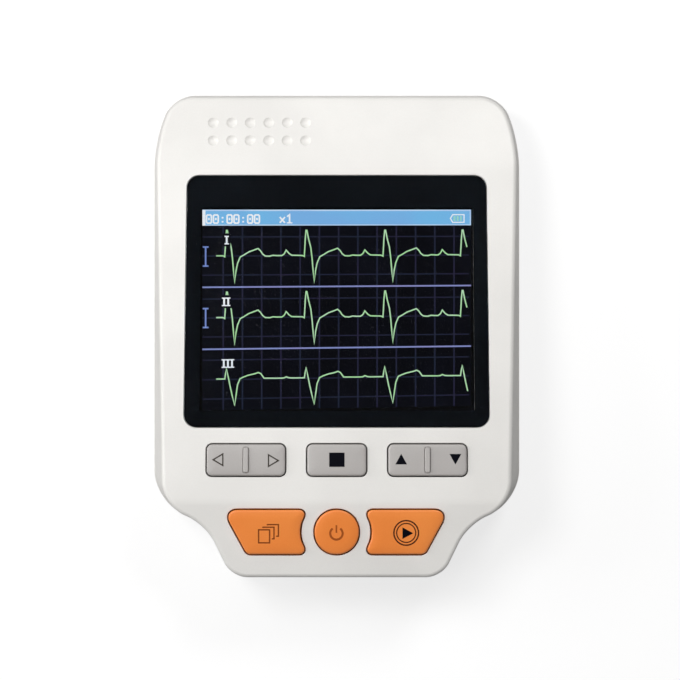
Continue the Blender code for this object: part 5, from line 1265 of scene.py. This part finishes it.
def turned(profile):
    """A solid turned from a profile of (radius, height), from the axis round to the axis."""
    bm = bmesh.new()
    verts = [bm.verts.new((radius, 0, height)) for radius, height in profile]
    for a, b in zip(verts, verts[1:]):
        bm.edges.new((a, b))
    bmesh.ops.spin(bm, geom=bm.verts[:] + bm.edges[:], cent=(0, 0, 0), axis=(0, 0, 1),
                   angle=2 * pi, steps=ROUND_STEPS, use_merge=True)
    bmesh.ops.remove_doubles(bm, verts=bm.verts, dist=NEAR)
    bmesh.ops.recalc_face_normals(bm, faces=bm.faces)
    return bm


def make_cells():
    """Three cells, each turned against its neighbour: a steel can, a printed sleeve and a band."""
    for i, x in enumerate((-CELL_PITCH, 0, CELL_PITCH)):
        up = -1 if i == 1 else 1
        y = CELL_NEAR if up > 0 else CELL_FAR
        place = Matrix.Translation((x, y, CELL_HEIGHT)) @ Matrix.Rotation(-up * pi / 2, 4, "X")
        name = f"battery_cell_{i + 1}"
        piece(name + "_can", turned(CAN_PROFILE), NICKEL, "case", (), place)
        piece(name + "_sleeve", turned(SLEEVE_PROFILE), JACKET, "case", (name,), place)
        piece(name + "_band", turned(BAND_PROFILE), BAND, "case", (), place)
        make_spring(i + 1, x, y - up * (CELL_LENGTH + SPRING_GAP), -up)


def make_spring(number, x, y, out):
    """A conical coil spring of round wire, from the cell's flat end to its contact plate."""
    bm = bmesh.new()
    bmesh.ops.create_circle(bm, segments=10, radius=SPRING_WIRE, cap_ends=True,
                            matrix=Matrix.Translation((SPRING_TIP, SPRING_WIRE, 0)))
    steps = SPRING_TURNS * SPRING_STEPS
    bmesh.ops.spin(bm, geom=bm.verts[:] + bm.edges[:] + bm.faces[:], cent=(0, 0, 0), axis=(0, 1, 0),
                   dvec=(0, SPRING_RUN / steps, 0), angle=2 * pi * SPRING_TURNS, steps=steps,
                   use_merge=False)
    for vert in bm.verts:
        share = min(1, max(0, (vert.co.y - SPRING_WIRE) / SPRING_RUN))
        flat = Vector((vert.co.x, 0, vert.co.z))
        vert.co += flat.normalized() * (SPRING_BASE - SPRING_TIP) * share
    bmesh.ops.scale(bm, vec=(1, out, 1), verts=bm.verts)
    bmesh.ops.recalc_face_normals(bm, faces=bm.faces)
    name = f"battery_spring_{number}"
    piece(name + "_coil", bm, NICKEL, "case", (name,),
          Matrix.Translation((x, y, CELL_HEIGHT)))


def make_sockets():
    """The two sockets: a drawn metal shell, and a tongue with its contacts."""
    outer = rectangle(SOCKET_HALF_WIDTH, SOCKET_HALF_HEIGHT, SOCKET_CORNER, 8)
    tongue = rectangle(TONGUE_HALF_WIDTH, TONGUE_HALF_THICKNESS, TONGUE_CORNER, 4)
    for name, (mouth, out) in SOCKETS.items():
        place = socket_place(mouth, out)
        bm = stack([(outer, -SOCKET_LENGTH)] + stepped(outer, SOCKET_EDGE))
        piece(name + "_shell", bm, NICKEL, "case", (name,), place)
        bm = stack([(tongue, -SOCKET_DEPTH - TONGUE_ROOT)] + stepped(tongue, TONGUE_EDGE))
        piece(name + "_tongue", bm, BLACK_PLASTIC, "case", (), place)
        contacts = [box((x - CONTACT_HALF_WIDTH, y - CONTACT_HALF_THICKNESS, -SOCKET_DEPTH),
                        (x + CONTACT_HALF_WIDTH, y + CONTACT_HALF_THICKNESS, CONTACT_END))
                    for x in CONTACT_PLACES for y in (-TONGUE_HALF_THICKNESS, TONGUE_HALF_THICKNESS)]
        piece(name + "_contacts", joined(contacts), GOLD, "case", (), place)


def make_screws():
    """Four case screws in their wells: domed heads with a cross recess, on plain shanks."""
    outside, edge, floor = CROSS_LEVELS
    for i, (x, y) in enumerate(CASE_SCREWS):
        arms = []
        for a, b in (CROSS_ARM, CROSS_ARM[::-1]):
            arm = rectangle(a, b, CROSS_CORNERS[0], 3)
            tip = rectangle(a * CROSS_TAPER, b * CROSS_TAPER, CROSS_CORNERS[1], 3)
            arms.append(stack([(arm, outside), (arm, edge), (tip, floor)]))
        bm = combined(turned(SCREW_PROFILE), combined(*arms, "UNION"))
        turn = Matrix.Rotation(radians(SCREW_TURN + SCREW_TURN_STEP * i), 4, "Z")
        place = Matrix.Translation((x, y, WELL_DEPTH - SCREW_SINK)) @ turn
        name = f"case_screw_{i + 1}"
        piece(name + "_steel", bm, ZINC, "case", (name,), place)


make_front_cover()
make_rear_cover()
make_door()
for key_name in KEYS:
    make_key(key_name)
make_lens()
make_key_marks()
make_picture()
make_cells()
make_sockets()
make_screws()

# The nodes that stay, each in what it is made of
KEPT = {
    "lens_tape": TAPE, "dust_gasket": FOAM, "lcd_bezel": STEEL, "lcd_panel": PANEL_GLASS,
    "backlight": DIFFUSER, "lcd_holder": BLACK_PLASTIC, "lcd_ribbon": RIBBON,
    "ribbon_connector": BLACK_PLASTIC, "main_board": LAMINATE, "keypad_sheet": SILICONE,
    "processor_chip": EPOXY, "memory_chip": EPOXY, "shield_can": NICKEL, "buzzer": BLACK_PLASTIC,
    "contact_top_bridge": NICKEL, "contact_top_single": NICKEL, "contact_bottom_bridge": NICKEL,
    "contact_bottom_single": NICKEL, "board_screw_1": ZINC, "board_screw_2": ZINC,
    "board_screw_3": ZINC, "board_screw_4": ZINC,
}
for node_name, finish in KEPT.items():
    for holder in NODES[node_name].material_slots:
        holder.material = finish


# Studio, in metres: an even sky that is dark overhead, where the lens would mirror it, and three
# soft lamps, each with its place, power and size
SKY_LEVEL = 0.3
SKY_OVERHEAD = 0.02
# Where the sky starts and ends to darken, as the height of its direction
SKY_DARKENS = (0.80, 0.92)
FLOOR_LEVEL = -0.0001
FLOOR_RADIUS = 6.0
FLOOR_SHADE = 0.4
FLOOR_LIFT = 0.7
LAMPS = (
    ("near_left_lamp", (-0.16, 0.10, 0.36), 0.58, 0.12),
    ("near_right_lamp", (0.15, 0.24, 0.33), 0.58, 0.12),
    ("low_left_lamp", (-0.90, 0.10, 0.35), 3.74, 0.5),
)


def make_studio():
    """The camera, the floor, the lamps and the sky."""
    scene = bpy.context.scene
    camera = bpy.data.cameras.new("camera")
    camera.lens = FOCAL_LENGTH
    camera.sensor_width = SENSOR_WIDTH
    camera.clip_start = 0.01
    camera.clip_end = 50
    seat = bpy.data.objects.new("camera", camera)
    seat.location = Vector(CAMERA_PLACE) * METRES
    scene.collection.objects.link(seat)
    scene.camera = seat

    bm = bmesh.new()
    bmesh.ops.create_circle(bm, cap_ends=True, segments=64, radius=FLOOR_RADIUS,
                            matrix=Matrix.Translation((0, 0, FLOOR_LEVEL)))
    mesh = bpy.data.meshes.new("floor")
    bm.to_mesh(mesh)
    bm.free()
    floor = bpy.data.objects.new("floor", mesh)
    scene.collection.objects.link(floor)
    made, tree, shader, _ = new_material("floor_paper", {"Roughness": 0.9})
    shader.inputs["Base Color"].default_value = (FLOOR_SHADE, FLOOR_SHADE, FLOOR_SHADE, 1)
    rays = add_node(tree, "ShaderNodeLightPath")
    lift = add_node(tree, "ShaderNodeMath", {"operation": "MULTIPLY", 1: FLOOR_LIFT},
                    {0: rays.outputs["Is Camera Ray"]})
    shader.inputs["Emission Color"].default_value = (1, 1, 1, 1)
    tree.links.new(lift.outputs[0], shader.inputs["Emission Strength"])
    mesh.materials.append(made)

    world = bpy.data.worlds.new("studio")
    scene.world = world
    world.use_nodes = True
    tree = world.node_tree
    sky = tree.nodes["Background"]
    sky.inputs["Color"].default_value = (1, 1, 1, 1)
    up = add_node(tree, "ShaderNodeSeparateXYZ", None,
                  {0: add_node(tree, "ShaderNodeTexCoord").outputs["Generated"]})
    dark = add_node(tree, "ShaderNodeMapRange",
                    {"From Min": SKY_DARKENS[0], "From Max": SKY_DARKENS[1],
                     "To Min": SKY_LEVEL, "To Max": SKY_OVERHEAD},
                    {"Value": up.outputs["Z"]})
    rays = add_node(tree, "ShaderNodeLightPath")
    level = add_node(tree, "ShaderNodeMix", {3: 1.0},
                     {0: rays.outputs["Is Camera Ray"], 2: dark.outputs[0]})
    tree.links.new(level.outputs[0], sky.inputs["Strength"])

    for name, spot, power, size in LAMPS:
        lamp = bpy.data.lights.new(name, "AREA")
        lamp.energy = power
        lamp.size = size
        holder = bpy.data.objects.new(name, lamp)
        holder.location = spot
        holder.rotation_euler = (-Vector(spot)).to_track_quat("-Z", "Y").to_euler()
        scene.collection.objects.link(holder)

    scene.view_settings.view_transform = "Standard"


make_studio()
